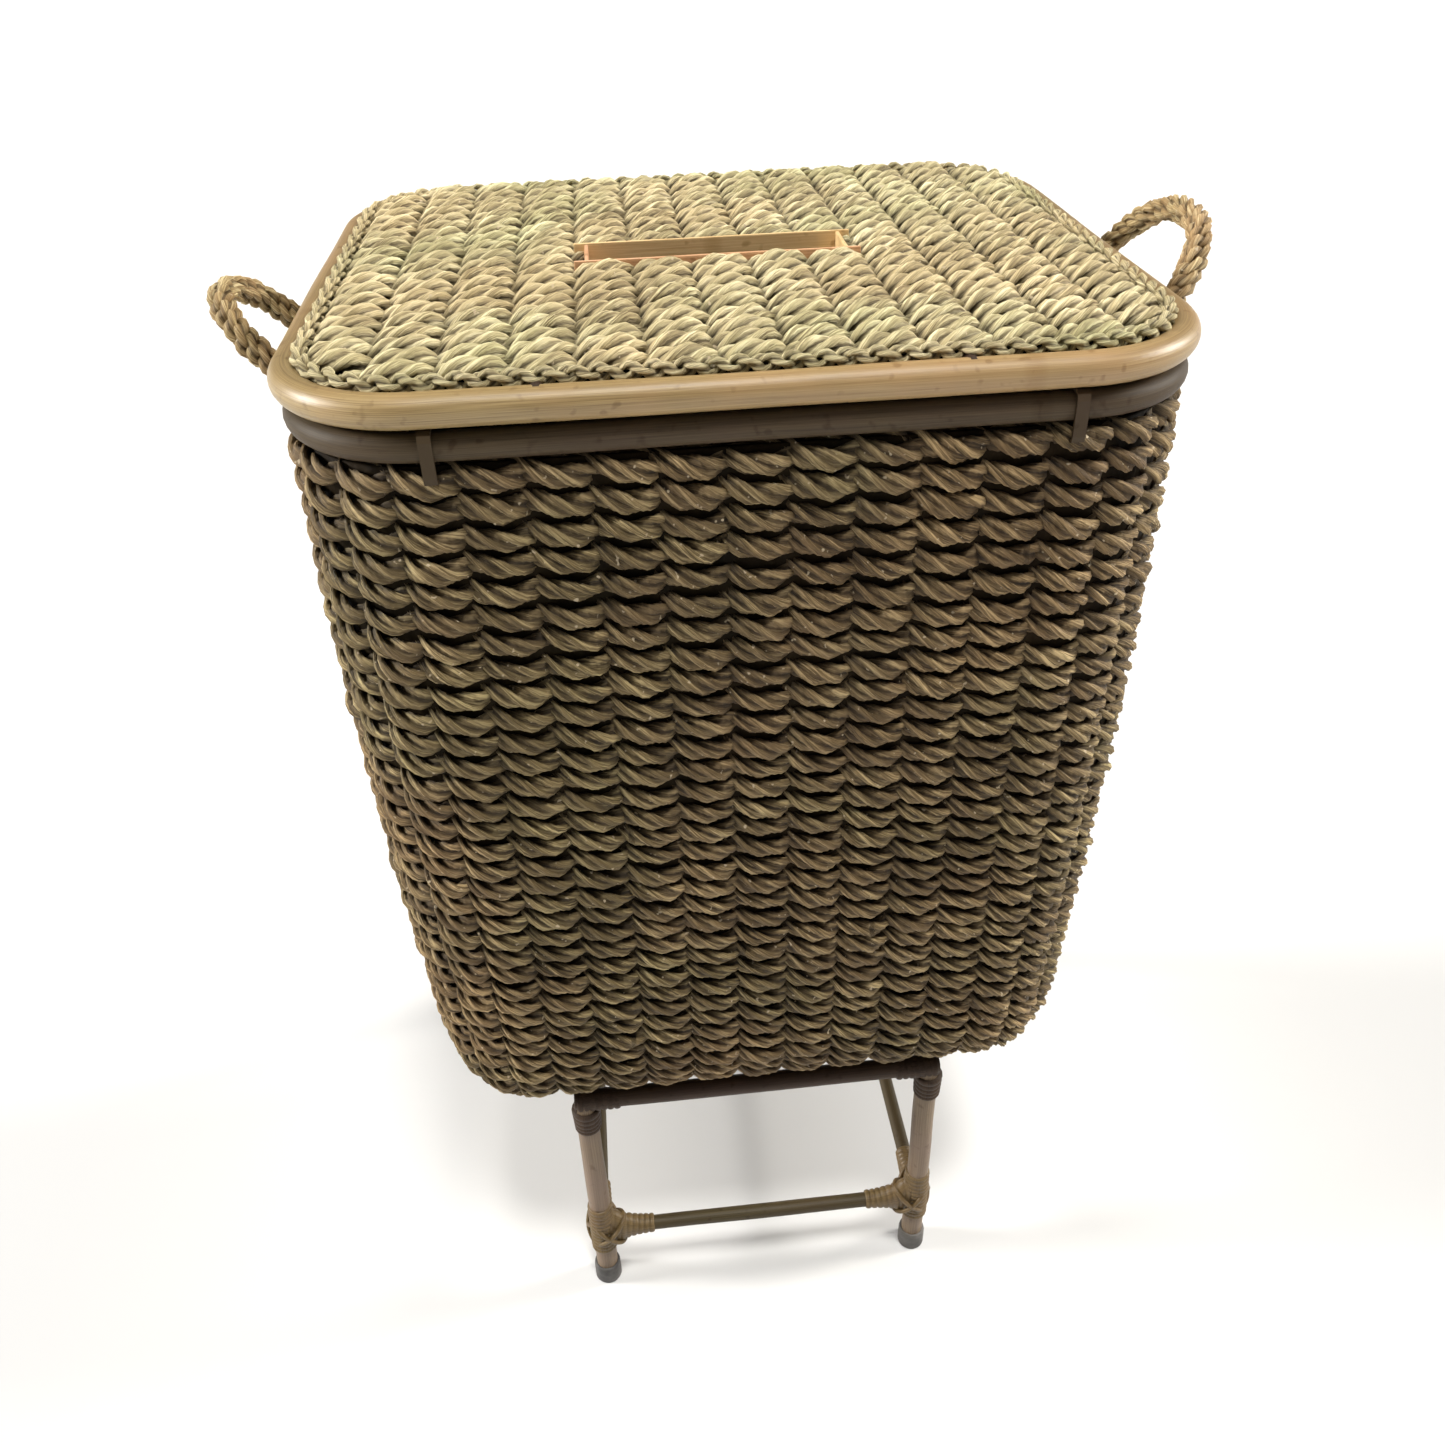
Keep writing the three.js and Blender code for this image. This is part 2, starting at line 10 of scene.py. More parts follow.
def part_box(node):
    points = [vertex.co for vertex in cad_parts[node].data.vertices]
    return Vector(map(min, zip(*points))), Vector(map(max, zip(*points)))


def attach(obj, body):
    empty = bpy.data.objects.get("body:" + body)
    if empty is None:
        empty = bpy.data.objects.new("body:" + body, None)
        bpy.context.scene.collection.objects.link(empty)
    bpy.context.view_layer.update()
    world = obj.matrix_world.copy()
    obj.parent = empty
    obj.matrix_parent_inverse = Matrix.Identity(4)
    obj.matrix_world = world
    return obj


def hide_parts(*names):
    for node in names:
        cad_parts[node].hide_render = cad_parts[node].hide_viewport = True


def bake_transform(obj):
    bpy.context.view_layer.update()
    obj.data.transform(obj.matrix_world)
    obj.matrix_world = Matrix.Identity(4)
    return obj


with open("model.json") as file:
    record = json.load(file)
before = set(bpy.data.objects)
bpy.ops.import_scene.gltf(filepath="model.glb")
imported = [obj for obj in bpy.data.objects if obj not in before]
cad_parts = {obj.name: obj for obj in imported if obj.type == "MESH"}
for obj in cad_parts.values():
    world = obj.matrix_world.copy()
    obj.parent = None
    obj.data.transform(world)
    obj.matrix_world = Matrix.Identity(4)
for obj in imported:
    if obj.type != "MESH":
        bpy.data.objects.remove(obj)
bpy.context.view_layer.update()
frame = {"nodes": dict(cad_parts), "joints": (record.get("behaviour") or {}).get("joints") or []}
MM = 0.001
PI = math.pi
rng = np.random.default_rng(51)

# ------------------------------------------------------------------ sizes from the frame

body_low, body_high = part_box("woven_body")
rim_low, rim_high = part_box("basket_rim")
inner_low, inner_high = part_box("inner_rim")
hoop_low, hoop_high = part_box("base_hoop")
lid_low, lid_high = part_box("lid_rim")
panel_low, panel_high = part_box("lid_panel")
border_low, border_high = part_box("lid_border_rope")
lid_hoop_low, lid_hoop_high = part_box("lid_inner_hoop")

BODY_WIDTH = rim_high.x - rim_low.x - 2 * MM
BODY_DEPTH = rim_high.y - rim_low.y - 2 * MM
BODY_CORNER = 68 * MM
BODY_BOTTOM = body_low.z
BODY_TOP = body_high.z
WALL = 12 * MM
TAPER = 8 * MM
BULGE = 5 * MM
BASE_ROUND = 48 * MM
BASE_ROUND_HEIGHT = 72 * MM
LID_CORNER = 72 * MM

# Weave
STAKES = 50                    # hidden stakes round the wall
WALL_ROWS = 34                 # rows of pairing from the rim to the base
STEPS_PER_STAKE = 9
CORD_RADIUS = 6.2 * MM         # half the height of a cord
CORD_FLATTEN = 0.72            # its thickness across the wall over its height
CORD_LAY = 42 * MM             # length of one full turn of its plies
CORD_SWING = 4.6 * MM          # how far it passes in front of and behind the stakes
CORD_CROSS = 1.2 * MM          # how far apart the two cords of a row cross
CORD_SAG = 2.3 * MM            # how far the middle of a stitch hangs below its ends
WALL_MIDDLE = 7.4 * MM         # depth of the stakes behind the outer face
SWING_SHARPNESS = 1.7          # how squarely a cord changes from front to back
ROW_PITCH = 14.2 * MM          # the row spacing at which a cord has its full radius
CORE_HALF = 1.1 * MM           # half the thickness of the dark core behind the wall's cords
SHEET_CORE_HALF = 1.2 * MM     # the same in the lid and the bottom
LID_ROWS, LID_COLUMNS = 20, 13
LID_CORD_RADIUS = 7.5 * MM
BASE_ROWS, BASE_COLUMNS = 18, 10
BASE_CORD_RADIUS = 6.6 * MM
BASE_CORNER = 12 * MM

# Hoops, ropes and poles
NODE_SPACING = 430 * MM        # between the rings on a rattan pole
POLE_WOBBLE = 0.25 * MM        # how far a pole wanders from its true line
BORDER_INSET = 13.5 * MM       # from the outside of the lid's rim to the middle of the border rope
BORDER_PRESSED = 2.6 * MM      # how far the border rope is pressed into the corner beside the rim
BORDER_LAY = 24 * MM
HANDLE_LAY = 22 * MM
LEG_RADIUS = 8 * MM
RAIL_RADIUS = 7 * MM
STRETCHER_RADIUS = 5.5 * MM
POST_RADIUS = 4.5 * MM         # corner posts and the poles under the bottom
LID_BAR_RADIUS = 3.5 * MM
BAND_RADIUS = 1.7 * MM         # cane that crosses over a joint
SLEEVE_TURN = 4.2 * MM         # width of one turn of wound cane
SLEEVE_SIDES = 18


def side_offset(z):
    """How far the outer face stands from the outline at the rim, as in the CAD wall."""
    t = (BODY_TOP - z) / (BODY_TOP - BODY_BOTTOM - BASE_ROUND_HEIGHT)
    return -TAPER * t + BULGE * 4 * t * (1 - t)


def face_offset(z):
    """The same down into the rounded bottom edge."""
    drop = (BODY_BOTTOM + BASE_ROUND_HEIGHT - z) / BASE_ROUND_HEIGHT
    return side_offset(z) if drop < 0 else -TAPER - BASE_ROUND + BASE_ROUND * math.sqrt(1 - drop * drop)


# ------------------------------------------------------------------ mesh building

def outline_table(width, depth, corner):
    """A rounded rectangle from the middle of the rear, anticlockwise: length, x, y, normal."""
    points, normals = [(0.0, depth / 2)], [(0.0, 1.0)]
    corners = [(-1, 1, 90), (-1, -1, 180), (1, -1, 270), (1, 1, 0)]
    for sx, sy, first in corners:
        for k in range(25):
            angle = math.radians(first + 90 * k / 24)
            nx, ny = math.cos(angle), math.sin(angle)
            x = sx * (width / 2 - corner) + corner * nx
            points.append((x, sy * (depth / 2 - corner) + corner * ny))
            normals.append((nx, ny))
    points.append(points[0])
    normals.append(normals[0])
    p, n = np.array(points), np.array(normals)
    length = np.concatenate([[0], np.cumsum(np.linalg.norm(np.diff(p, axis=0), axis=1))])
    return length, p, n


def on_outline(table, s):
    """Points and outward normals at lengths s along an outline."""
    length, p, n = table
    s = np.mod(s, length[-1])
    point = np.stack([np.interp(s, length, p[:, i]) for i in (0, 1)], -1)
    normal = np.stack([np.interp(s, length, n[:, i]) for i in (0, 1)], -1)
    normal /= np.linalg.norm(normal, axis=1)[:, None]
    return point, normal


def cord_section(plies, sides, squeeze=0.8):
    """The outline of a cord of so many plies, with a vertex in each crease. Its largest radius is 1."""
    reach = squeeze / math.sin(PI / plies) if plies > 2 else squeeze
    angles = 2 * PI * np.arange(sides) / sides
    local = PI / plies - np.abs((angles + PI / plies) % (2 * PI / plies) - PI / plies)
    radius = reach * np.cos(local) + np.sqrt(np.maximum(1 - (reach * np.sin(local)) ** 2, 0.02))
    radius /= radius.max()
    return np.stack([radius * np.cos(angles), radius * np.sin(angles)], -1)


def ply_height(section):
    """0 in the creases of a cord's section, 1 on the backs of its plies."""
    radius = np.hypot(section[:, 0], section[:, 1])
    low, high = radius.min(), radius.max()
    return (radius - low) / (high - low) if high - low > 0.01 else np.ones(len(section))


def smooth_noise(count, spacing, closed=True):
    """A smooth random line of count values, mean 0 and about 1 high, with a knot every spacing values."""
    knots = max(4, int(count / spacing))
    values = rng.normal(0, 1, knots)
    at = np.arange(count) / count * knots
    low = np.floor(at).astype(int)
    share = at - low
    share = share * share * (3 - 2 * share)
    following = (low + 1) % knots if closed else np.minimum(low + 1, knots - 1)
    return values[low % knots] * (1 - share) + values[following] * share


class Parts:
    """Collects grids of vertices and writes them as one mesh object."""

    LABELS = ("along", "ring_x", "ring_y", "tint", "crest", "ply")

    def __init__(self):
        self.co, self.quads, self.tris = [], [], []
        self.values = {label: [] for label in self.LABELS}
        self.count = 0

    def add(self, grid, closed, tint=0.5, along=None, crest=1.0, ply=1.0):
        """grid is rings x sides x 3. An open tube gets a fan at each end. crest is 0 deep in a weave and
        1 on top, ply is 0 in the creases of a cord and 1 on the backs of its plies."""
        rings, sides, _ = grid.shape
        index = self.count + np.arange(rings * sides).reshape(rings, sides)
        following = np.roll(index, -1, 0) if closed else index[1:]
        current = index if closed else index[:-1]
        quads = np.stack([current, np.roll(current, -1, 1), np.roll(following, -1, 1), following], -1)
        self.quads.append(quads.reshape(-1, 4))
        if along is None:
            step = np.linalg.norm(np.diff(grid.mean(1), axis=0), axis=1)
            along = np.concatenate([[0], np.cumsum(step)])
        self.co.append(grid.reshape(-1, 3))
        angle = 2 * PI * np.arange(sides) / sides
        given = {
            "along": np.asarray(along)[:, None], "ring_x": np.cos(angle), "ring_y": np.sin(angle),
            "tint": np.asarray(tint, float).reshape(-1, 1), "crest": crest, "ply": ply,
        }
        for label, value in given.items():
            self.values[label].append(np.broadcast_to(value, (rings, sides)).reshape(-1))
        self.count += rings * sides
        if not closed:
            for ring, turn in ((0, 1), (rings - 1, -1)):
                self.co.append(grid[ring].mean(0)[None])
                for label in self.LABELS:
                    self.values[label].append(np.full(1, along[ring] if label == "along" else 0.5))
                fan = np.stack([np.full(sides, self.count), np.roll(index[ring], -1), index[ring]], -1)
                self.tris.append(fan if turn > 0 else fan[:, ::-1])
                self.count += 1

    def write(self, name, material):
        quads = np.concatenate(self.quads) if self.quads else np.zeros((0, 4), int)
        tris = np.concatenate(self.tris) if self.tris else np.zeros((0, 3), int)
        mesh = bpy.data.meshes.new(name)
        co = np.concatenate(self.co)
        mesh.vertices.add(len(co))
        mesh.vertices.foreach_set("co", co.astype(np.float32).reshape(-1))
        loops = np.concatenate([quads.reshape(-1), tris.reshape(-1)])
        mesh.loops.add(len(loops))
        mesh.loops.foreach_set("vertex_index", loops.astype(np.int32))
        starts = np.concatenate([np.arange(len(quads)) * 4, len(quads) * 4 + np.arange(len(tris)) * 3])
        mesh.polygons.add(len(starts))
        mesh.polygons.foreach_set("loop_start", starts.astype(np.int32))
        for label, values in self.values.items():
            attribute = mesh.attributes.new(label, "FLOAT", "POINT")
            attribute.data.foreach_set("value", np.concatenate(values).astype(np.float32))
        mesh.polygons.foreach_set("use_smooth", np.full(len(starts), True))
        mesh.update(calc_edges=True)
        mesh.validate()
        obj = bpy.data.objects.new(name, mesh)
        bpy.context.scene.collection.objects.link(obj)
        obj.data.materials.append(material)
        return obj


def finish_piece(obj, body, slot, *nodes):
    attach(obj, body)
    if nodes:
        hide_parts(*nodes)
    return obj


def path_frames(path, closed=False):
    """Two side directions that don't twist, along a path of points."""
    if closed:
        tangent = np.roll(path, -1, 0) - np.roll(path, 1, 0)
    else:
        tangent = np.gradient(path, axis=0)
    tangent /= np.linalg.norm(tangent, axis=1)[:, None]
    side = np.zeros_like(path)
    start = np.cross(tangent[0], (0.0, 0.0, 1.0))
    if np.linalg.norm(start) < 0.3:
        start = np.cross(tangent[0], (0.0, 1.0, 0.0))
    side[0] = start / np.linalg.norm(start)
    for i in range(1, len(path)):
        v = side[i - 1] - tangent[i] * (side[i - 1] @ tangent[i])
        side[i] = v / np.linalg.norm(v)
    if closed:
        v = side[-1] - tangent[0] * (side[-1] @ tangent[0])
        v /= np.linalg.norm(v)
        other = np.cross(tangent[0], side[0])
        error = math.atan2(v @ other, v @ side[0])
        turn = -error * np.arange(len(path)) / len(path)
        up = np.cross(tangent, side)
        side = side * np.cos(turn)[:, None] + up * np.sin(turn)[:, None]
    return side, np.cross(tangent, side)


def spline(points, count, closed=False):
    """A centripetal Catmull-Rom curve through points, evenly spaced."""
    p = np.array(points, float)
    if closed:
        ext = np.concatenate([p[-1:], p, p[:2]])
    else:
        ext = np.concatenate([2 * p[:1] - p[1:2], p, 2 * p[-1:] - p[-2:-1]])
    dense = []
    for i in range(1, len(ext) - 2):
        a, b, c, d = ext[i - 1:i + 3]
        k1 = max(np.linalg.norm(b - a), 1e-9) ** 0.5
        k2 = k1 + max(np.linalg.norm(c - b), 1e-9) ** 0.5
        k3 = k2 + max(np.linalg.norm(d - c), 1e-9) ** 0.5
        for t in np.linspace(k1, k2, 30, endpoint=False):
            a1 = (k1 - t) / k1 * a + t / k1 * b
            a2 = (k2 - t) / (k2 - k1) * b + (t - k1) / (k2 - k1) * c
            a3 = (k3 - t) / (k3 - k2) * c + (t - k2) / (k3 - k2) * d
            b1 = (k2 - t) / k2 * a1 + t / k2 * a2
            b2 = (k3 - t) / (k3 - k1) * a2 + (t - k1) / (k3 - k1) * a3
            dense.append((k2 - t) / (k2 - k1) * b1 + (t - k1) / (k2 - k1) * b2)
    dense.append(ext[-2])
    dense = np.array(dense)
    length = np.concatenate([[0], np.cumsum(np.linalg.norm(np.diff(dense, axis=0), axis=1))])
    want = np.linspace(0, length[-1], count + (1 if closed else 0))
    even = np.stack([np.interp(want, length, dense[:, i]) for i in range(3)], -1)
    return even[:-1] if closed else even


def turned(section, turn):
    """The two coordinates of a section on every ring, turned by that ring's angle."""
    x, y = section[None, :, 0], section[None, :, 1]
    cos, sin = np.cos(turn)[:, None], np.sin(turn)[:, None]
    return x * cos - y * sin, x * sin + y * cos


def sweep(parts, path, section, radius, turn=0.0, closed=False, tint=0.5):
    """Carries a section along a path. radius and turn may change along it."""
    side, up = path_frames(path, closed)
    n = len(path)
    radius = np.broadcast_to(np.asarray(radius, float), (n,))
    turn = np.broadcast_to(np.asarray(turn, float), (n,))
    a, b = turned(section, turn)
    grid = path[:, None] + radius[:, None, None] * (a[..., None] * side[:, None] + b[..., None] * up[:, None])
    parts.add(grid, closed, tint, ply=ply_height(section))


def circle(sides):
    angles = 2 * PI * np.arange(sides) / sides
    return np.stack([np.cos(angles), np.sin(angles)], -1)


# ------------------------------------------------------------------ materials

def node_tree(name):
    material = bpy.data.materials.new(name)
    material.use_nodes = True
    tree = material.node_tree
    return material, tree, tree.nodes["Principled BSDF"]


def attribute_node(tree, name):
    node = tree.nodes.new("ShaderNodeAttribute")
    node.attribute_name = name
    return node.outputs["Fac"]


def weighted(tree, *pairs):
    """The sum of values times their weights."""
    products = [math_node(tree, "MULTIPLY", value, weight) for value, weight in pairs]
    total = products[0]
    for product in products[1:]:
        total = math_node(tree, "ADD", total, product)
    return total


def math_node(tree, operation, a, b=None):
    node = tree.nodes.new("ShaderNodeMath")
    node.operation = operation
    for socket, value in zip(node.inputs, (a, b)):
        if value is None:
            continue
        if isinstance(value, (int, float)):
            socket.default_value = value
        else:
            tree.links.new(value, socket)
    return node.outputs[0]


def combine(tree, x, y, z):
    node = tree.nodes.new("ShaderNodeCombineXYZ")
    for socket, value in zip(node.inputs, (x, y, z)):
        if isinstance(value, (int, float)):
            socket.default_value = value
        else:
            tree.links.new(value, socket)
    return node.outputs[0]


def noise(tree, vector, scale, detail=3.0, roughness=0.6):
    node = tree.nodes.new("ShaderNodeTexNoise")
    node.inputs["Scale"].default_value = scale
    node.inputs["Detail"].default_value = detail
    node.inputs["Roughness"].default_value = roughness
    tree.links.new(vector, node.inputs["Vector"])
    return node.outputs["Fac"]


def ramp(tree, value, stops):
    node = tree.nodes.new("ShaderNodeValToRGB")
    elements = node.color_ramp.elements
    while len(elements) < len(stops):
        elements.new(0.5)
    for element, (position, color) in zip(elements, stops):
        element.position = position
        element.color = (*color, 1)
    tree.links.new(value, node.inputs["Fac"])
    return node.outputs["Color"]


def mix(tree, kind, factor, a, b):
    node = tree.nodes.new("ShaderNodeMix")
    node.data_type = "RGBA"
    node.blend_type = kind
    for label, value in (("Factor", factor), ("A", a), ("B", b)):
        socket = [s for s in node.inputs if s.name == label and s.type in ("RGBA", "VALUE")]
        socket = socket[0] if label == "Factor" else [s for s in socket if s.type == "RGBA"][0]
        if isinstance(value, (int, float)):
            socket.default_value = value
        elif isinstance(value, tuple):
            socket.default_value = (*value, 1)
        else:
            tree.links.new(value, socket)
    return [s for s in node.outputs if s.type == "RGBA"][0]


def bump(tree, shader, height, strength, distance):
    node = tree.nodes.new("ShaderNodeBump")
    node.inputs["Strength"].default_value = strength
    node.inputs["Distance"].default_value = distance
    tree.links.new(height, node.inputs["Height"])
    tree.links.new(node.outputs["Normal"], shader.inputs["Normal"])


def object_coordinates(tree):
    return tree.nodes.new("ShaderNodeTexCoord").outputs["Object"]


def grass_material(name, dark, middle, light, odd, recess=0.30, crease=0.30, gloss=0.4,
                   pale=(0.66, 0.54, 0.36)):
    """Seagrass cord: fibres along the plies, patches of green and pink, painted shade in the recesses and the
    ply creases, painted highlights on the crests, and a few pale specks as painted glints.
    """
    material, tree, shader = node_tree(name)
    along, ring_x, ring_y, tint, crest, ply = (attribute_node(tree, label) for label in Parts.LABELS)

    def fibres(length_scale, ring_scale, scale):
        place = combine(
            tree,
            math_node(tree, "MULTIPLY", along, length_scale),
            math_node(tree, "MULTIPLY", ring_x, ring_scale),
            math_node(tree, "MULTIPLY", ring_y, ring_scale),
        )
        return noise(tree, place, scale, 3.0, 0.65)

    blades = fibres(30.0, 1.6, 1.7)
    hairs = fibres(45.0, 5.0, 1.9)
    place = object_coordinates(tree)
    patch = noise(tree, place, 17.0, 3.0)
    cast = noise(tree, place, 8.0, 2.0)
    level = weighted(tree, (blades, 0.5), (hairs, 0.3), (patch, 0.2))
    color = ramp(tree, level, [(0.40, dark), (0.50, middle), (0.60, light)])
    color = mix(tree, "MIX", math_node(tree, "MULTIPLY", tint, 0.55), color, odd)
    green = ramp(tree, cast, [(0.38, (0.94, 1.00, 0.94)), (0.50, (1, 1, 1)), (0.62, (1.04, 0.98, 0.96))])
    color = mix(tree, "MULTIPLY", 1.0, color, green)
    # painted shade in the creases between a cord's plies, and a slight painted highlight on the backs of the
    # plies
    inside = (crease, crease * 0.9, crease * 0.8)
    ply_crease_shade = ramp(tree, ply, [(0.0, inside), (0.55, (0.88, 0.87, 0.85)), (1.0, (1.08, 1.08, 1.06))])
    color = mix(tree, "MULTIPLY", 1.0, color, ply_crease_shade)
    # painted shade deep between the stitches, and a painted highlight on their crests
    low = (recess, recess * 0.86, recess * 0.66)
    shade = ramp(tree, crest, [(0.05, low), (0.55, (0.72, 0.70, 0.66)), (0.98, (1.40, 1.38, 1.34))])
    color = mix(tree, "MULTIPLY", 1.0, color, shade)
    # a few pale specks at random places: painted highlights, standing in for glints on lit plies
    glint_specks = ramp(tree, noise(tree, place, 260.0, 1.0), [(0.71, (0, 0, 0)), (0.77, (0.8, 0.8, 0.8))])
    color = mix(tree, "MIX", glint_specks, color, pale)
    tree.links.new(color, shader.inputs["Base Color"])
    rough = math_node(tree, "ADD", math_node(tree, "MULTIPLY", hairs, 0.3), 0.5)
    tree.links.new(rough, shader.inputs["Roughness"])
    shader.inputs["Specular IOR Level"].default_value = gloss
    relief = weighted(tree, (blades, 0.6), (hairs, 0.4))
    bump(tree, shader, relief, 0.9, 0.0030)
    return material


def cane_material(name, dark, light, blush, gloss, coat=0.15):
    """Peeled rattan: fine grain along the pole, faint blotches and nodes, a low sheen."""
    material, tree, shader = node_tree(name)
    along, ring_x, ring_y = (attribute_node(tree, label) for label in ("along", "ring_x", "ring_y"))
    grain_at = combine(
        tree,
        math_node(tree, "MULTIPLY", along, 7.0),
        math_node(tree, "MULTIPLY", ring_x, 7.0),
        math_node(tree, "MULTIPLY", ring_y, 7.0),
    )
    grain = noise(tree, grain_at, 2.4, 5.0, 0.7)
    blotch = noise(tree, object_coordinates(tree), 9.0, 3.0)
    speck = noise(tree, object_coordinates(tree), 140.0, 1.0)
    color = ramp(tree, grain, [(0.32, dark), (0.66, light)])
    blushed = ramp(tree, blotch, [(0.45, (0, 0, 0)), (0.70, (0.55, 0.55, 0.55))])
    color = mix(tree, "MIX", blushed, color, blush)
    # rattan nodes: a faint darker ring at even distances
    wave = math_node(tree, "COSINE", math_node(tree, "MULTIPLY", along, 2 * PI / NODE_SPACING))
    ring = ramp(tree, wave, [(0.0, (1, 1, 1)), (0.9992, (1, 1, 1)), (1.0, (0.86, 0.82, 0.76))])
    color = mix(tree, "MULTIPLY", 1.0, color, ring)
    spots = ramp(tree, speck, [(0.26, (0.72, 0.66, 0.58)), (0.36, (1, 1, 1))])
    color = mix(tree, "MULTIPLY", 1.0, color, spots)
    tree.links.new(color, shader.inputs["Base Color"])
    rough = math_node(tree, "ADD", math_node(tree, "MULTIPLY", grain, 0.22), gloss)
    tree.links.new(rough, shader.inputs["Roughness"])
    shader.inputs["Coat Weight"].default_value = coat
    shader.inputs["Specular IOR Level"].default_value = 0.2 + 2 * coat
    shader.inputs["Coat Roughness"].default_value = 0.35
    bump(tree, shader, grain, 0.25, 0.0006)
    return material


def cap_material():
    material, tree, shader = node_tree("foot_cap_grey")
    place = object_coordinates(tree)
    wear = noise(tree, place, 60.0, 4.0)
    dust = noise(tree, place, 14.0, 3.0)
    color = ramp(tree, wear, [(0.35, (0.040, 0.037, 0.035)), (0.70, (0.130, 0.120, 0.112))])
    dusty = ramp(tree, dust, [(0.45, (0, 0, 0)), (0.75, (0.5, 0.5, 0.5))])
    color = mix(tree, "MIX", dusty, color, (0.17, 0.14, 0.10))
    tree.links.new(color, shader.inputs["Base Color"])
    shader.inputs["Roughness"].default_value = 0.62
    bump(tree, shader, wear, 0.3, 0.0005)
    return material


# The wall and bottom's seagrass: its own olive-brown tone, set much darker than the lid's as painted shade on
# the shaded front.
WALL_GRASS = grass_material(
    "seagrass_wall",
    (0.038, 0.024, 0.009), (0.166, 0.114, 0.052), (0.450, 0.345, 0.185), (0.105, 0.068, 0.032))
LID_GRASS = grass_material(
    "seagrass_lid",
    (0.130, 0.095, 0.045), (0.400, 0.340, 0.190), (0.740, 0.680, 0.460), (0.400, 0.345, 0.200),
    recess=0.26, crease=0.28)
ROPE_GRASS = grass_material(
    "seagrass_rope",
    (0.120, 0.070, 0.028), (0.320, 0.225, 0.110), (0.640, 0.540, 0.340), (0.270, 0.165, 0.075))
# Near black: painted shade, for the core sheets seen through the gaps of the weave.
SHADE_CORE = grass_material(
    "seagrass_core_shade",
    (0.004, 0.003, 0.002), (0.009, 0.006, 0.003), (0.018, 0.012, 0.006), (0.009, 0.006, 0.003),
    gloss=0.05, pale=(0.02, 0.015, 0.008))
CANE = cane_material(
    "cane", (0.170, 0.105, 0.036), (0.390, 0.280, 0.125), (0.430, 0.255, 0.120), 0.28)
DARK_CANE = cane_material(
    "cane_dark", (0.022, 0.012, 0.007), (0.065, 0.040, 0.024), (0.055, 0.032, 0.024), 0.42, 0.0)
# The basket's rim cane, much darker than the lid's rim: painted shade under the lid's rim.
SHADED_RIM_CANE = cane_material(
    "cane_shade", (0.034, 0.022, 0.011), (0.090, 0.064, 0.034), (0.070, 0.044, 0.030), 0.42, 0.0)
BINDING = cane_material(
    "cane_binding", (0.045, 0.028, 0.010), (0.175, 0.120, 0.046), (0.130, 0.075, 0.034), 0.36, 0.06)
LEG_CANE = cane_material(
    "cane_leg", (0.090, 0.058, 0.032), (0.225, 0.160, 0.095), (0.190, 0.125, 0.100), 0.36, 0.06)
STRETCHER_CANE = cane_material(
    "cane_olive", (0.024, 0.017, 0.007), (0.080, 0.060, 0.027), (0.060, 0.038, 0.018), 0.40, 0.02)
# Pale cane for the slot's rear and right strips: tan cane made brighter as painted light where the far wall
# of the slot lies in shade.
STRIP = cane_material(
    "cane_strip_painted_light", (0.620, 0.400, 0.170), (0.860, 0.640, 0.330), (0.900, 0.600, 0.300), 0.34)
BLUSH_STRIP = cane_material(
    "cane_blush", (0.560, 0.280, 0.130), (0.780, 0.470, 0.270), (0.800, 0.430, 0.260), 0.34)
CAP = cap_material()

# ------------------------------------------------------------------ woven wall

CORD = cord_section(3, 12, 0.97)


def wall_profile():
    """Middles of the rows down the wall and round its bottom edge: offset, z, and the way down."""
    across, down = BASE_ROUND - WALL_MIDDLE, BASE_ROUND_HEIGHT - WALL_MIDDLE
    edge_z = BODY_BOTTOM + BASE_ROUND_HEIGHT
    straight = [(side_offset(z) - WALL_MIDDLE, z) for z in np.linspace(BODY_TOP, edge_z, 60)]
    bend = []
    for k in range(1, 25):
        angle = k / 24 * PI / 2
        bend.append((-TAPER - BASE_ROUND + across * math.cos(angle), edge_z - down * math.sin(angle)))
    line = np.array(straight + bend)
    length = np.concatenate([[0], np.cumsum(np.linalg.norm(np.diff(line, axis=0), axis=1))])
    where = (np.arange(WALL_ROWS) + 0.5) / WALL_ROWS * (length[-1] - 2 * MM)
    place = np.stack([np.interp(where, length, line[:, i]) for i in (0, 1)], -1)
    ahead = np.stack([np.interp(where + MM, length, line[:, i]) for i in (0, 1)], -1)
    behind = np.stack([np.interp(where - MM, length, line[:, i]) for i in (0, 1)], -1)
    down = ahead - behind
    down /= np.linalg.norm(down, axis=1)[:, None]
    pitch = where[1] - where[0]
    return place, down, pitch


WALL_OUTLINE = outline_table(BODY_WIDTH, BODY_DEPTH, BODY_CORNER)


def stitch_swing(wave):
    """How far a cord stands out: almost flat over each stake, with a quick change between them."""
    return CORD_SWING * np.tanh(SWING_SHARPNESS * wave) / math.tanh(SWING_SHARPNESS)


def stitch_crest(height):
    """0 deep between the stitches, 1 on top of them, alike on both sides of the weave."""
    return np.clip((np.abs(height) + CORD_SWING * 0.3) / (1.6 * CORD_SWING), 0, 1)


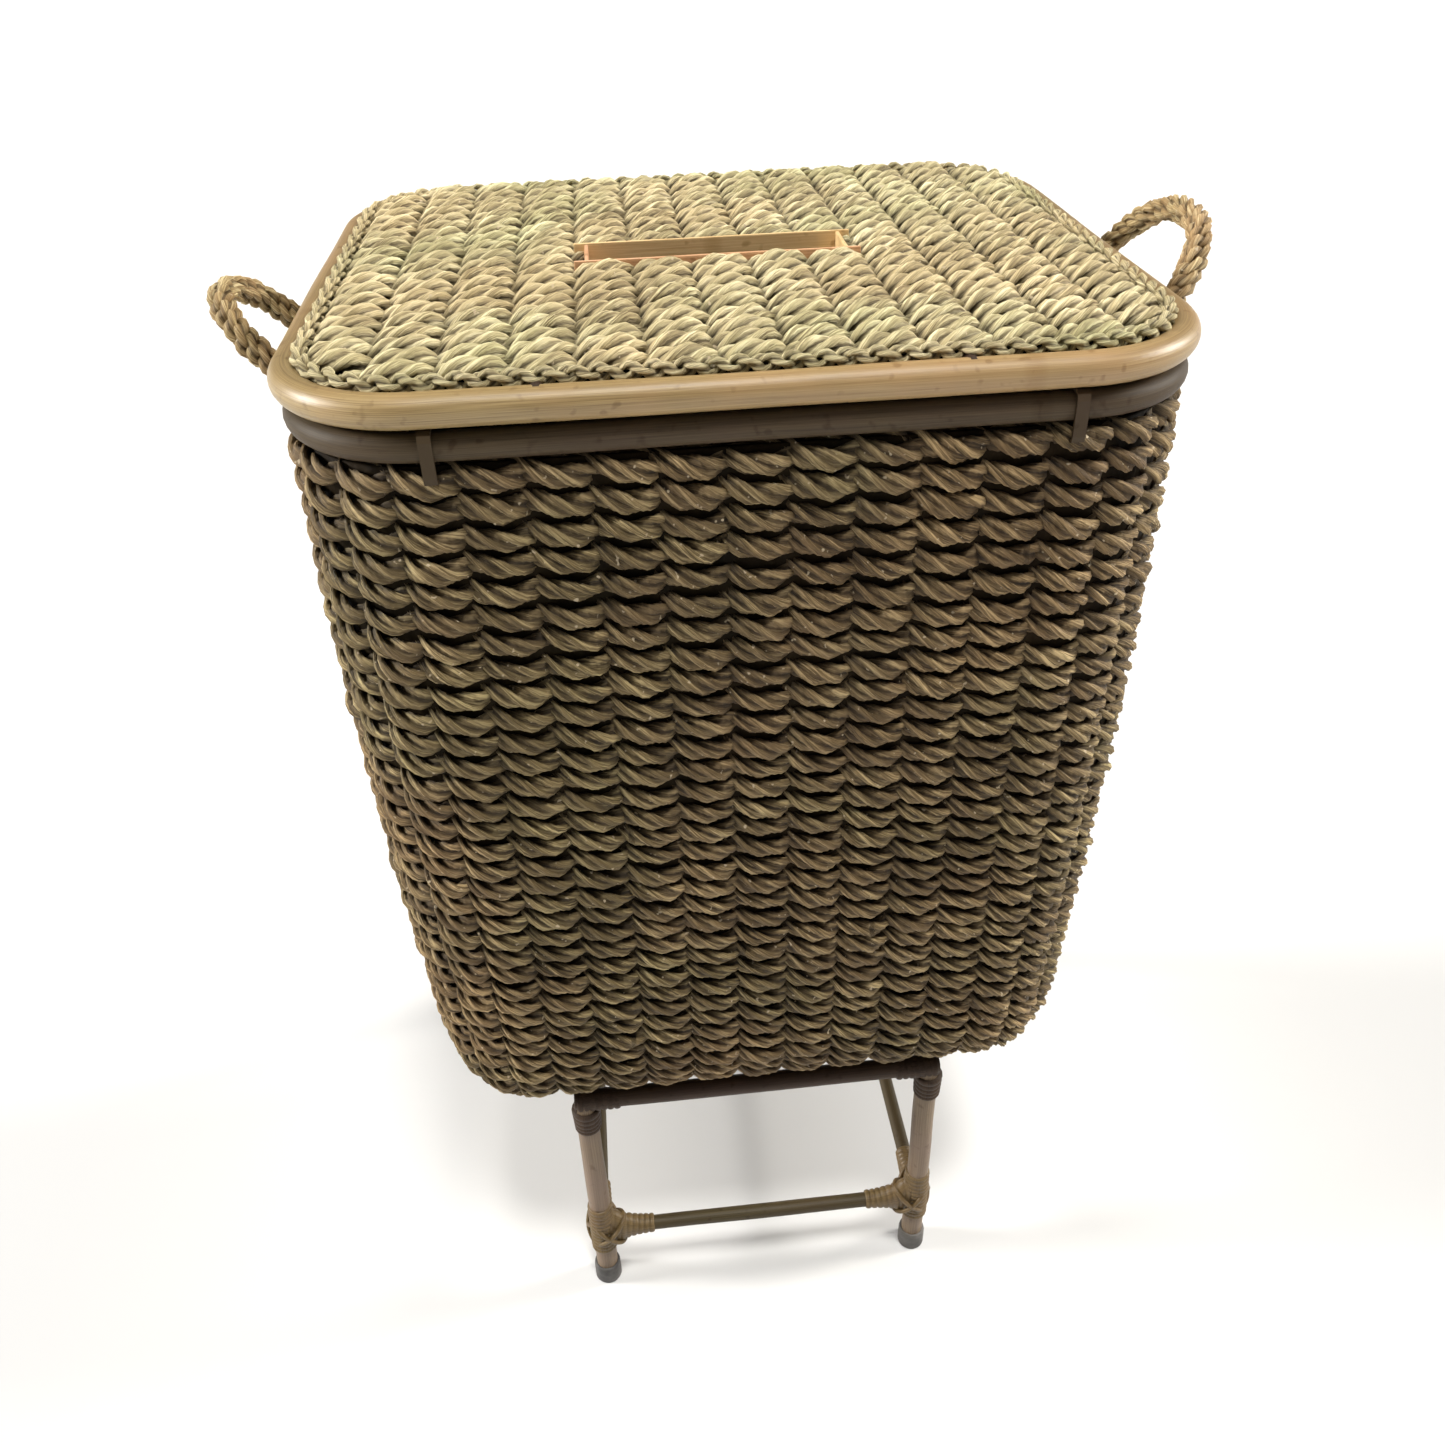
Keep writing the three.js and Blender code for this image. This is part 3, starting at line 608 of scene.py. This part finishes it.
def pairing_row(parts, place, down, phase, scale):
    """One of the two cords of a row, all the way round the wall."""
    total = WALL_OUTLINE[0][-1]
    n = STAKES * STEPS_PER_STAKE
    index = rng.integers(n) + np.arange(n)
    s = index / n * total
    point, normal = on_outline(WALL_OUTLINE, s)
    k = index / STEPS_PER_STAKE
    wobble = smooth_noise(n, STEPS_PER_STAKE)
    wave = np.cos(PI * k + phase)
    swing = stitch_swing(wave) * (1 + 0.10 * wobble)
    cross = CORD_CROSS * np.sin(PI * k + phase) + CORD_SAG * wave
    cross = cross + 0.75 * MM * smooth_noise(n, 1.1 * STEPS_PER_STAKE)
    out = np.array([-down[1], down[0]])
    turns = round(total / CORD_LAY)
    turn = 2 * PI * turns * np.arange(n) / n + rng.uniform(0, 2 * PI)
    thick = CORD_RADIUS * scale * (1 + 0.08 * smooth_noise(n, 6))
    a, b = turned(CORD, turn)
    outward = swing[:, None] + a * thick[:, None] * CORD_FLATTEN
    downward = cross[:, None] + b * thick[:, None]
    offset = place[0] + outward * out[0] + downward * down[0]
    z = place[1] + outward * out[1] + downward * down[1]
    grid = np.stack([
        point[:, None, 0] + normal[:, None, 0] * offset,
        point[:, None, 1] + normal[:, None, 1] * offset,
        z,
    ], -1)
    tint = np.clip(0.45 + 0.40 * smooth_noise(n, 1.4 * STEPS_PER_STAKE), 0, 1)
    along = s + rng.uniform(0, 9)
    parts.add(grid, True, tint, along, stitch_crest(outward), ply_height(CORD))


def ring_of(parts, table, section, steps):
    """Carries a closed [offset, z] section round an outline."""
    s = np.arange(steps) / steps * table[0][-1]
    point, normal = on_outline(table, s)
    grid = np.stack([
        point[:, None, 0] + normal[:, None, 0] * section[None, :, 0],
        point[:, None, 1] + normal[:, None, 1] * section[None, :, 0],
        np.broadcast_to(section[None, :, 1], (steps, len(section))),
    ], -1)
    parts.add(grid, True, along=s)


def build_wall():
    place, down, pitch = wall_profile()
    bands = 4
    for band in range(bands):
        parts = Parts()
        rows = range(band * WALL_ROWS // bands, (band + 1) * WALL_ROWS // bands)
        for row in rows:
            for phase in (0.0, PI):
                pairing_row(parts, place[row], down[row], phase, pitch / ROW_PITCH)
        obj = parts.write(f"wall_weave_{band + 1}", WALL_GRASS)
        finish_piece(obj, "basket", "seagrass")
    # a thin core behind the cords, where the stakes are, near black: painted shade seen through the gaps
    # between the cords
    parts = Parts()
    core = np.array([place[0] + (0, 5 * MM), *place, place[-1] + (-5 * MM, 0)])
    side = np.gradient(core, axis=0)
    side /= np.linalg.norm(side, axis=1)[:, None]
    across = np.stack([-side[:, 1], side[:, 0]], -1) * CORE_HALF
    ring_of(parts, WALL_OUTLINE, np.concatenate([core + across, (core - across)[::-1]])[::-1], steps=160)
    finish_piece(parts.write("wall_core", SHADE_CORE), "basket", "seagrass", "woven_body")


# ------------------------------------------------------------------ woven sheets

def woven_sheet(parts, half_width, half_depth, corner, rows, columns, z, radius, reach, gap=None):
    """A flat sheet of pairing with its cords along X. They end reach past the outline, and stop at a gap of
    (half length, half width)."""
    column = 2 * half_width / columns
    pitch = 2 * half_depth / rows
    for row in range(rows):
        y = -half_depth + (row + 0.5) * pitch
        inset = max(0.0, abs(y) - (half_depth - corner))
        end = half_width - corner + math.sqrt(max(corner * corner - inset * inset, 0.0)) + reach
        spans = [(-end, end)]
        if gap and abs(y) < gap[1] + 0.3 * pitch:
            spans = [(-end, -gap[0]), (gap[0], end)]
        for start, stop in spans:
            for phase in (0.0, PI):
                n = max(8, int((stop - start) / column * STEPS_PER_STAKE))
                x = np.linspace(start, stop, n)
                k = (x + half_width) / column - 0.5
                swing = stitch_swing(np.cos(PI * k + phase))
                cross = CORD_CROSS * np.sin(PI * k + phase)
                cross = cross + 0.8 * MM * smooth_noise(n, 14, closed=False)
                turn = 2 * PI * x / CORD_LAY + rng.uniform(0, 2 * PI)
                thick = radius * (1 + 0.06 * smooth_noise(n, 6, closed=False))
                from_end = np.minimum(x - start, stop - x)
                thick = thick * np.sqrt(np.clip(from_end / radius + 0.15, 0, 1))
                a, b = turned(CORD, turn)
                grid = np.stack([
                    np.broadcast_to(x[:, None], a.shape),
                    y + cross[:, None] + b * thick[:, None],
                    z + swing[:, None] + a * thick[:, None] * CORD_FLATTEN,
                ], -1)
                tint = np.clip(0.45 + 0.32 * smooth_noise(n, 30, closed=False), 0, 1)
                crest = stitch_crest(grid[..., 2] - z)
                parts.add(grid[:, ::-1], False, tint, along=x + rng.uniform(0, 9), crest=crest[:, ::-1],
                          ply=ply_height(CORD)[::-1])


def sheet_core(name, half_width, half_depth, corner, z, body, slot_name, node, hole=None):
    """A thin sheet between the cords of a flat weave, near black: painted shade seen through the gaps."""
    table = outline_table(2 * half_width, 2 * half_depth, corner)
    inner = hole or (0.0, 0.0)
    mesh = bmesh.new()
    s = np.arange(96) / 96 * table[0][-1]
    point, _ = on_outline(table, s)
    for level in (z - SHEET_CORE_HALF, z + SHEET_CORE_HALF):
        for x, y in point:
            mesh.verts.new((x, y, level))
        scale = np.maximum(np.abs(point[:, 0]) / max(inner[0], MM), np.abs(point[:, 1]) / max(inner[1], MM))
        for (x, y), m in zip(point, scale):
            mesh.verts.new((x / m, y / m, level))
    mesh.verts.ensure_lookup_table()
    n = len(point)
    v = mesh.verts
    for i in range(n):
        j = (i + 1) % n
        mesh.faces.new((v[n + i], v[n + j], v[j], v[i]))
        mesh.faces.new((v[2 * n + i], v[2 * n + j], v[3 * n + j], v[3 * n + i]))
        mesh.faces.new((v[i], v[j], v[2 * n + j], v[2 * n + i]))
        mesh.faces.new((v[3 * n + i], v[3 * n + j], v[n + j], v[n + i]))
    data = bpy.data.meshes.new(name)
    mesh.to_mesh(data)
    mesh.free()
    obj = bpy.data.objects.new(name, data)
    bpy.context.scene.collection.objects.link(obj)
    obj.data.materials.append(SHADE_CORE)
    return finish_piece(obj, body, slot_name, node)


def build_lid_panel():
    half_width = (panel_high.x - panel_low.x) / 2
    half_depth = (panel_high.y - panel_low.y) / 2
    z = panel_high.z - 6.4 * MM
    corner = LID_CORNER - 19 * MM
    slot_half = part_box("slot_strip_right")[1].x + 0.4 * MM
    slot_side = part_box("slot_strip_rear")[1].y + 0.4 * MM
    parts = Parts()
    woven_sheet(parts, half_width, half_depth, corner, LID_ROWS, LID_COLUMNS, z, LID_CORD_RADIUS, 0.0,
                (slot_half, slot_side))
    finish_piece(parts.write("lid_weave", LID_GRASS), "lid", "lid_seagrass")
    sheet_core("lid_core", half_width + 1 * MM, half_depth + 1 * MM, corner, z - 1 * MM, "lid",
               "lid_seagrass", "lid_panel", (slot_half, slot_side))


def build_base():
    low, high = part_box("woven_base")
    half_width, half_depth = (high.x - low.x) / 2, (high.y - low.y) / 2
    z = (low.z + high.z) / 2
    parts = Parts()
    woven_sheet(parts, half_width, half_depth, BASE_CORNER, BASE_ROWS, BASE_COLUMNS, z, BASE_CORD_RADIUS,
                -3 * MM)
    finish_piece(parts.write("base_weave", WALL_GRASS), "basket", "seagrass")
    sheet_core("base_core", half_width, half_depth, BASE_CORNER, z, "basket", "seagrass", "woven_base")


# ------------------------------------------------------------------ hoops and ropes

def hoop(name, low, high, corner, body, slot_name, material, node):
    """A bent rattan hoop that fills the box of its CAD node."""
    radius = (high.z - low.z) / 2
    table = outline_table(high.x - low.x - 2 * radius, high.y - low.y - 2 * radius, corner - radius)
    total = table[0][-1]
    n = int(total / (6 * MM))
    s = np.arange(n) / n * total
    point, normal = on_outline(table, s)
    path = np.concatenate([point, np.full((n, 1), (low.z + high.z) / 2)], 1)
    path[:, :2] += normal * (POLE_WOBBLE * smooth_noise(n, 16))[:, None]
    path[:, 2] += POLE_WOBBLE * smooth_noise(n, 20)
    thick = radius * (0.985 + 0.012 * smooth_noise(n, 12))
    parts = Parts()
    sweep(parts, path, circle(20), thick, closed=True)
    return finish_piece(parts.write(name, material), body, slot_name, node)


def laid_rope(parts, path, strands, rope_radius, lay):
    """Strands laid round each other along a closed path, each a cord of two plies."""
    side, up = path_frames(path, True)
    n = len(path)
    step = np.linalg.norm(np.diff(path, axis=0), axis=1)
    length = np.concatenate([[0], np.cumsum(step)])
    total = length[-1] + np.linalg.norm(path[0] - path[-1])
    turns = max(1, round(total / lay))
    strand_radius = rope_radius / (1 + 1 / math.sin(PI / strands)) if strands > 2 else rope_radius / 2
    reach = rope_radius - strand_radius
    strand_radius *= 1.10
    for k in range(strands):
        angle = 2 * PI * turns * length / total + 2 * PI * k / strands
        line = path + reach * (np.cos(angle)[:, None] * side + np.sin(angle)[:, None] * up)
        thick = strand_radius * (1 + 0.05 * smooth_noise(n, 8))
        twist = -2 * PI * round(1.7 * turns) * length / total
        tint = np.clip(0.45 + 0.3 * smooth_noise(n, 20), 0, 1)
        sweep(parts, line, cord_section(2, 10), thick, twist, True, tint)


def build_border_rope():
    radius = (border_high.z - border_low.z) / 2
    width, depth = border_high.x - border_low.x, border_high.y - border_low.y
    inset = radius + BORDER_PRESSED
    corner = LID_CORNER - BORDER_INSET - BORDER_PRESSED
    table = outline_table(width - 2 * inset, depth - 2 * inset, corner)
    total = table[0][-1]
    n = int(total / (2.4 * MM))
    point, _ = on_outline(table, np.arange(n) / n * total)
    path = np.concatenate([point, np.full((n, 1), border_high.z - radius - 1.4 * BORDER_PRESSED)], 1)
    parts = Parts()
    laid_rope(parts, path, 2, 0.94 * radius, BORDER_LAY)
    finish_piece(parts.write("border_rope", LID_GRASS), "lid", "lid_seagrass", "lid_border_rope")


def build_hoops():
    hoop("lid_rim_cane", lid_low, lid_high, LID_CORNER, "lid", "cane", CANE, "lid_rim")
    hoop("basket_rim_cane", rim_low, rim_high, BODY_CORNER, "basket", "cane", SHADED_RIM_CANE, "basket_rim")
    hoop("inner_rim_cane", inner_low, inner_high, 50 * MM, "basket", "dark_cane", DARK_CANE, "inner_rim")
    hoop("base_hoop_cane", hoop_low, hoop_high, 17 * MM, "basket", "dark_cane", DARK_CANE, "base_hoop")
    hoop("lid_hoop_cane", lid_hoop_low, lid_hoop_high, 42 * MM, "lid", "dark_cane", DARK_CANE,
         "lid_inner_hoop")


# ------------------------------------------------------------------ handles

HANDLE_REACH = 42 * MM         # how far the top of each loop leans out past its roots
HANDLES = [                    # spread is half the distance between the two roots
    {"side": "left", "sx": -1, "spread": 37 * MM, "rise": 43 * MM},
    {"side": "right", "sx": 1, "spread": 51 * MM, "rise": 58 * MM},
]
ROPE_RADIUS = 7.5 * MM


def build_handle(side, sx, spread, rise):
    """One closed grommet of laid rope: the loop outside, and the tail behind the wall."""
    joint = next(j for j in frame["joints"] if j["name"] == f"handle_{side}_flex")
    root = Vector(joint["pos_m"])
    loop = [(1, 0), (1.03, 0.3), (0.86, 0.7), (0.47, 0.94)]
    outside = [(-y, h) for y, h in loop] + [(0, 1)] + loop[::-1]
    points = [(root.x + sx * h * HANDLE_REACH, y * spread, root.z + h * rise) for y, h in outside]
    tail_low, tail_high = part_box(f"handle_tail_{side}")
    inside = (tail_low.x if sx > 0 else tail_high.x) + sx * ROPE_RADIUS
    wall = sx * (BODY_WIDTH / 2 - WALL)
    tail = [(wall, 1), (inside, 0.78), (inside, 0.4), (inside, -0.4), (inside, -0.78), (wall, -1)]
    points += [(x, y * spread, root.z) for x, y in tail]
    path = spline(points, 190, closed=True)
    parts = Parts()
    laid_rope(parts, path, 3, ROPE_RADIUS, HANDLE_LAY)
    obj = parts.write(f"handle_rope_{side}", ROPE_GRASS)
    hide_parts(f"handle_loop_{side}", f"handle_tail_{side}")
    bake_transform(obj)


# ------------------------------------------------------------------ stand

def straight_cane(node, start, end, radius, slot_name, material, body="basket"):
    """A straight pole between two points, in place of a CAD node."""
    start, end = np.array(start, float), np.array(end, float)
    n = max(6, int(np.linalg.norm(end - start) / (6 * MM)))
    path = start + (end - start) * np.linspace(0, 1, n)[:, None]
    path += POLE_WOBBLE * np.stack([smooth_noise(n, 12, False) for _ in range(3)], -1)
    thick = radius * (0.985 + 0.012 * smooth_noise(n, 9, False))
    thick[0] = thick[-1] = radius * 0.9
    parts = Parts()
    sweep(parts, path, circle(16), thick)
    return finish_piece(parts.write(f"{node}_cane", material), body, slot_name, node)


RAIL_LIFT = 2.5 * MM           # the front and rear rails press up into the rounded edge of the weave
CORNERS = [
    (f"{end}_{side}", sx, sy)
    for end, sy in (("front", -1), ("rear", 1)) for side, sx in (("left", -1), ("right", 1))
]


def along_box(node, axis, grow=0.0):
    """End points of the pole that fills a CAD node's box along an axis, longer by grow at each end."""
    low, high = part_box(node)
    middle = (low + high) / 2
    start, end = middle.copy(), middle.copy()
    start[axis], end[axis] = low[axis] - grow, high[axis] + grow
    return start, end


def bound_sleeve(parts, start, end, radius_start, radius_end, flare, up=(0, 0, 1)):
    """Cane wound round a pole: one rounded rib for each turn. flare is the extra radius at the start."""
    start, end = np.array(start, float), np.array(end, float)
    length = np.linalg.norm(end - start)
    turns = max(3, round(length / SLEEVE_TURN))
    per_turn = 6
    t = np.linspace(0, 1, turns * per_turn + 1)
    direction = (end - start) / length
    side = np.cross(direction, up)
    side /= np.linalg.norm(side)
    over = np.cross(side, direction)
    wide = radius_start + (radius_end - radius_start) * t
    tall = wide + flare * (1 - t) ** 3
    section = circle(SLEEVE_SIDES)
    slope = 1.3 * MM * np.sin(2 * PI * np.arange(SLEEVE_SIDES) / SLEEVE_SIDES)
    along_path = t[:, None] * length + slope[None, :] * np.sin(PI * t)[:, None]
    rib = np.abs(np.sin(PI * t * turns)) ** 0.5
    ribbed = (rib - 1) * 0.9 * MM
    grid = start + direction * along_path[..., None]
    grid = grid + side * (section[:, 0] * (wide + ribbed)[:, None])[..., None]
    grid = grid + over * (section[:, 1] * (tall + ribbed)[:, None])[..., None]
    parts.add(grid, False, along=t * length * 3)


def cross_band(parts, centre, normal, radius_long, radius_short, long_axis):
    """One turn of cane laid diagonally over a joint."""
    normal = np.array(normal, float)
    normal /= np.linalg.norm(normal)
    long_axis = np.array(long_axis, float)
    long_axis -= normal * (long_axis @ normal)
    long_axis /= np.linalg.norm(long_axis)
    short_axis = np.cross(normal, long_axis)
    angle = np.arange(40) / 40 * 2 * PI
    path = np.array(centre) + radius_long * np.cos(angle)[:, None] * long_axis
    path = path + radius_short * np.sin(angle)[:, None] * short_axis
    sweep(parts, path, circle(8), BAND_RADIUS, closed=True)


def pole(node, axis, radius, slot_name, material, grow=0.0, lift=0.0, body="basket"):
    """The cane for a CAD pole that runs along an axis."""
    start, end = along_box(node, axis, grow)
    start.z, end.z = start.z + lift, end.z + lift
    straight_cane(node, start, end, radius, slot_name, material, body)


def build_stand():
    """Legs, stretchers, rails and the poles under the bottom and the lid. Returns where each leg starts."""
    legs = {}
    for place, _, _ in CORNERS:
        start, end = along_box(f"leg_{place}", 2)
        legs[place] = start
        straight_cane(f"leg_{place}", start, end + Vector((0, 0, 3 * MM)), LEG_RADIUS, "cane", LEG_CANE)
    for place in ("front", "rear"):
        pole(f"stretcher_{place}", 0, STRETCHER_RADIUS, "cane", STRETCHER_CANE, grow=2 * MM)
        pole(f"stand_rail_{place}", 0, RAIL_RADIUS, "dark_cane", DARK_CANE, lift=RAIL_LIFT)
    for place in ("left", "right"):
        pole(f"stretcher_{place}", 1, STRETCHER_RADIUS, "cane", STRETCHER_CANE, grow=2 * MM)
        pole(f"stand_rail_{place}", 1, RAIL_RADIUS, "dark_cane", DARK_CANE, grow=1 * MM)
        pole(f"base_bar_{place}", 1, POST_RADIUS, "dark_cane", DARK_CANE, grow=1 * MM)
        pole(f"lid_bar_{place}", 1, LID_BAR_RADIUS, "dark_cane", DARK_CANE, grow=1 * MM, body="lid")
    return legs


def build_lower_binding(place, x, y, z, directions):
    """Cane wound round a leg and its two stretchers, with bands that cross over the joint."""
    parts = Parts()
    bound_sleeve(parts, (x, y, z - 20 * MM), (x, y, z + 31 * MM), 10 * MM, 9.3 * MM, 0, up=(0, 1, 0))
    for dx, dy in directions:
        inner = (x + dx * 5 * MM, y + dy * 5 * MM, z)
        outer = (x + dx * 39 * MM, y + dy * 39 * MM, z)
        bound_sleeve(parts, inner, outer, 8.4 * MM, 6.9 * MM, 18 * MM)
        for tilt in (-1, 1):
            cross_band(parts, inner, (dx, dy, tilt * 0.9), 17 * MM, 11 * MM, (dx, dy, -tilt))
    piece = parts.write(f"binding_lower_{place}_cane", BINDING)
    finish_piece(piece, "basket", "binding", f"binding_lower_{place}")


def build_upper_binding(place, x, y, z, directions):
    """Cane wound round the top of a leg and the ends of its two rails, in near-black cane as painted shade
    under the basket.
    """
    parts = Parts()
    bound_sleeve(parts, (x, y, z - 26 * MM), (x, y, z - 5 * MM), 9.4 * MM, 10.2 * MM, 0, up=(0, 1, 0))
    for dx, dy in directions:
        level = z - 0.6 * MM + (RAIL_LIFT if dx else 0)
        inner = (x - dx * 5 * MM, y - dy * 5 * MM, level)
        outer = (x + dx * 24 * MM, y + dy * 24 * MM, level)
        bound_sleeve(parts, inner, outer, 7.9 * MM, 7.7 * MM, 0)
    # the near-black cane here is painted shade under the basket
    piece = parts.write(f"binding_upper_{place}_cane", DARK_CANE)
    finish_piece(piece, "basket", "dark_cane", f"binding_upper_{place}")


def build_foot_cap(place, x, y):
    """A turned cap with rounded edges. Its profile is [radius, height] in millimetres."""
    profile = [
        (0.2, 0), (8.6, 0), (9.5, 0.4), (10, 1.5), (10.05, 8), (9.9, 15.6), (9.6, 17.3), (8.9, 18), (8.1, 18)]
    angles = 2 * PI * np.arange(28) / 28
    grid = np.array([
        [(x + r * MM * math.cos(a), y + r * MM * math.sin(a), z * MM) for a in angles] for r, z in profile])
    parts = Parts()
    parts.add(grid[:, ::-1], False)
    finish_piece(parts.write(f"foot_cap_{place}_grey", CAP), "basket", "cap", f"foot_cap_{place}")


def build_joints(legs):
    stretcher_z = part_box("stretcher_front")[0].z + STRETCHER_RADIUS
    rail_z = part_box("stand_rail_front")[0].z + RAIL_RADIUS
    for place, sx, sy in CORNERS:
        foot = legs[place]
        directions = ((-sx, 0), (0, -sy))
        build_lower_binding(place, foot.x, foot.y, stretcher_z, directions)
        build_upper_binding(place, foot.x, foot.y, rail_z, directions)
        build_foot_cap(place, foot.x, foot.y)


# ------------------------------------------------------------------ frame inside, slot, ties

def post_spot(sx, sy, offset, z):
    """A point on the diagonal of a corner, offset outwards from the rim's outline."""
    reach = (BODY_CORNER + offset) * math.sqrt(0.5) - BODY_CORNER
    return sx * (BODY_WIDTH / 2 + reach), sy * (BODY_DEPTH / 2 + reach), z


def build_posts():
    stand = WALL + 5.1 * MM + 1.2 * MM
    height = BODY_TOP - BODY_BOTTOM
    for place, sx, sy in CORNERS:
        points = [post_spot(sx, sy, -TAPER - BASE_ROUND + 6 * MM, hoop_high.z)]
        for share in (0.1, 0.24, 0.49, 0.74, 0.91):
            z = BODY_BOTTOM + share * height
            points.append(post_spot(sx, sy, face_offset(z) - stand, z))
        points.append(post_spot(sx, sy, -WALL - 5.3 * MM, inner_low.z + 3 * MM))
        parts = Parts()
        sweep(parts, spline(points, 60), circle(14), POST_RADIUS)
        piece = parts.write(f"corner_post_{place}_cane", DARK_CANE)
        finish_piece(piece, "basket", "dark_cane", f"corner_post_{place}")


def bevelled_strip(name, node, body, slot_name, material):
    """A peeled cane strip that fills its CAD node, with soft edges."""
    low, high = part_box(node)
    size, middle = high - low, (low + high) / 2
    mesh = bmesh.new()
    bmesh.ops.create_cube(mesh, size=1.0)
    bmesh.ops.scale(mesh, vec=size, verts=mesh.verts)
    bmesh.ops.bevel(mesh, geom=list(mesh.edges), offset=0.6 * MM, segments=2, affect="EDGES", profile=0.6)
    long_edges = [e for e in mesh.edges if (e.verts[0].co - e.verts[1].co).length > 0.5 * max(size)]
    bmesh.ops.subdivide_edges(mesh, edges=long_edges, cuts=14)
    axis = 0 if size.x > size.y else 1
    phase = rng.uniform(0, 6)
    for v in mesh.verts:
        v.co[1 - axis] += 0.25 * MM * math.sin(v.co[axis] * 60 + phase)
        v.co += middle
    data = bpy.data.meshes.new(name)
    mesh.to_mesh(data)
    mesh.free()
    for label, values in (
        ("along", [v.co[axis] for v in data.vertices]),
        ("ring_x", [0.8 * (v.co.z - low.z) / size.z for v in data.vertices]),
    ):
        data.attributes.new(label, "FLOAT", "POINT").data.foreach_set("value", values)
    obj = bpy.data.objects.new(name, data)
    bpy.context.scene.collection.objects.link(obj)
    data.materials.append(material)
    return finish_piece(obj, body, slot_name, node)


def dress_ties():
    for node, obj in frame["nodes"].items():
        if node.startswith(("rim_tie", "base_tie")):
            # the ties take the rim cane's painted shade
            obj.data.materials.clear()
            obj.data.materials.append(SHADED_RIM_CANE)


# ------------------------------------------------------------------ stage

def build_stage():
    scene = bpy.context.scene
    scene.view_settings.view_transform = "Standard"
    bpy.ops.mesh.primitive_plane_add(size=80, location=(0, 0, 0))
    floor = bpy.context.object
    floor.name = "floor"
    material, _, shader = node_tree("floor_pale")
    shader.inputs["Base Color"].default_value = (0.68, 0.68, 0.685, 1)
    shader.inputs["Roughness"].default_value = 0.9
    floor.data.materials.append(material)

    bpy.ops.mesh.primitive_cylinder_add(
        vertices=96, radius=39, depth=70, end_fill_type="NOTHING", location=(0, 0, 34.9))
    backdrop = bpy.context.object
    backdrop.name = "backdrop"
    material, _, shader = node_tree("backdrop_white")
    shader.inputs["Base Color"].default_value = (0, 0, 0, 1)
    shader.inputs["Emission Color"].default_value = (1, 1, 1, 1)
    shader.inputs["Emission Strength"].default_value = 1.0
    backdrop.data.materials.append(material)
    backdrop.visible_diffuse = backdrop.visible_glossy = backdrop.visible_shadow = False

    world = bpy.data.worlds.new("studio")
    world.use_nodes = True
    world.node_tree.nodes["Background"].inputs["Color"].default_value = (1, 1, 1, 1)
    world.node_tree.nodes["Background"].inputs["Strength"].default_value = 0.20
    scene.world = world

    def sun(name, azimuth, elevation, strength, spread, color):
        """azimuth is where the light comes from: 0 from the front, 90 from the right, 180 from the back."""
        light = bpy.data.lights.new(name, "SUN")
        light.energy = strength
        light.angle = math.radians(spread)
        light.color = color
        obj = bpy.data.objects.new(name, light)
        a, e = math.radians(azimuth), math.radians(elevation)
        source = Vector((math.sin(a) * math.cos(e), -math.cos(a) * math.cos(e), math.sin(e)))
        obj.rotation_euler = source.to_track_quat("Z", "Y").to_euler()
        scene.collection.objects.link(obj)

    sun("above", 12, 76, 2.5, 12, (1.0, 0.98, 0.93))
    sun("right", 97, 23, 3.3, 14, (1.0, 0.96, 0.88))
    sun("left", 265, 21, 4.2, 14, (1.0, 0.98, 0.94))


def build_camera():
    """A camera a little left of the front, above the lid and looking down, as a person stands over it."""
    yaw, pitch, roll = (math.radians(v) for v in (-4.9, 35.67, -1.78))
    forward = Vector((-math.sin(yaw) * math.cos(pitch), math.cos(yaw) * math.cos(pitch), -math.sin(pitch)))
    flat = Vector((math.cos(yaw), math.sin(yaw), 0))
    upright = flat.cross(forward)
    right = math.cos(roll) * flat + math.sin(roll) * upright
    up = -math.sin(roll) * flat + math.cos(roll) * upright
    data = bpy.data.cameras.new("camera")
    data.sensor_width = 36
    data.lens = 30.97
    data.clip_end = 50
    camera = bpy.data.objects.new("camera", data)
    camera.matrix_world = Matrix((
        (right.x, up.x, -forward.x, -0.0645),
        (right.y, up.y, -forward.y, -0.704),
        (right.z, up.z, -forward.z, 0.917),
        (0, 0, 0, 1),
    ))
    bpy.context.scene.collection.objects.link(camera)
    bpy.context.scene.camera = camera


build_camera()
build_stage()
build_wall()
build_lid_panel()
build_base()
build_border_rope()
build_hoops()
for handle in HANDLES:
    build_handle(**handle)
build_joints(build_stand())
build_posts()
# the rear and right strips take the brightened cane: painted light in the shaded slot
for strip, cane in (("front", BLUSH_STRIP), ("rear", STRIP), ("left", BLUSH_STRIP), ("right", STRIP)):
    bevelled_strip(f"slot_cane_{strip}", f"slot_strip_{strip}", "lid", "strip", cane)
dress_ties()
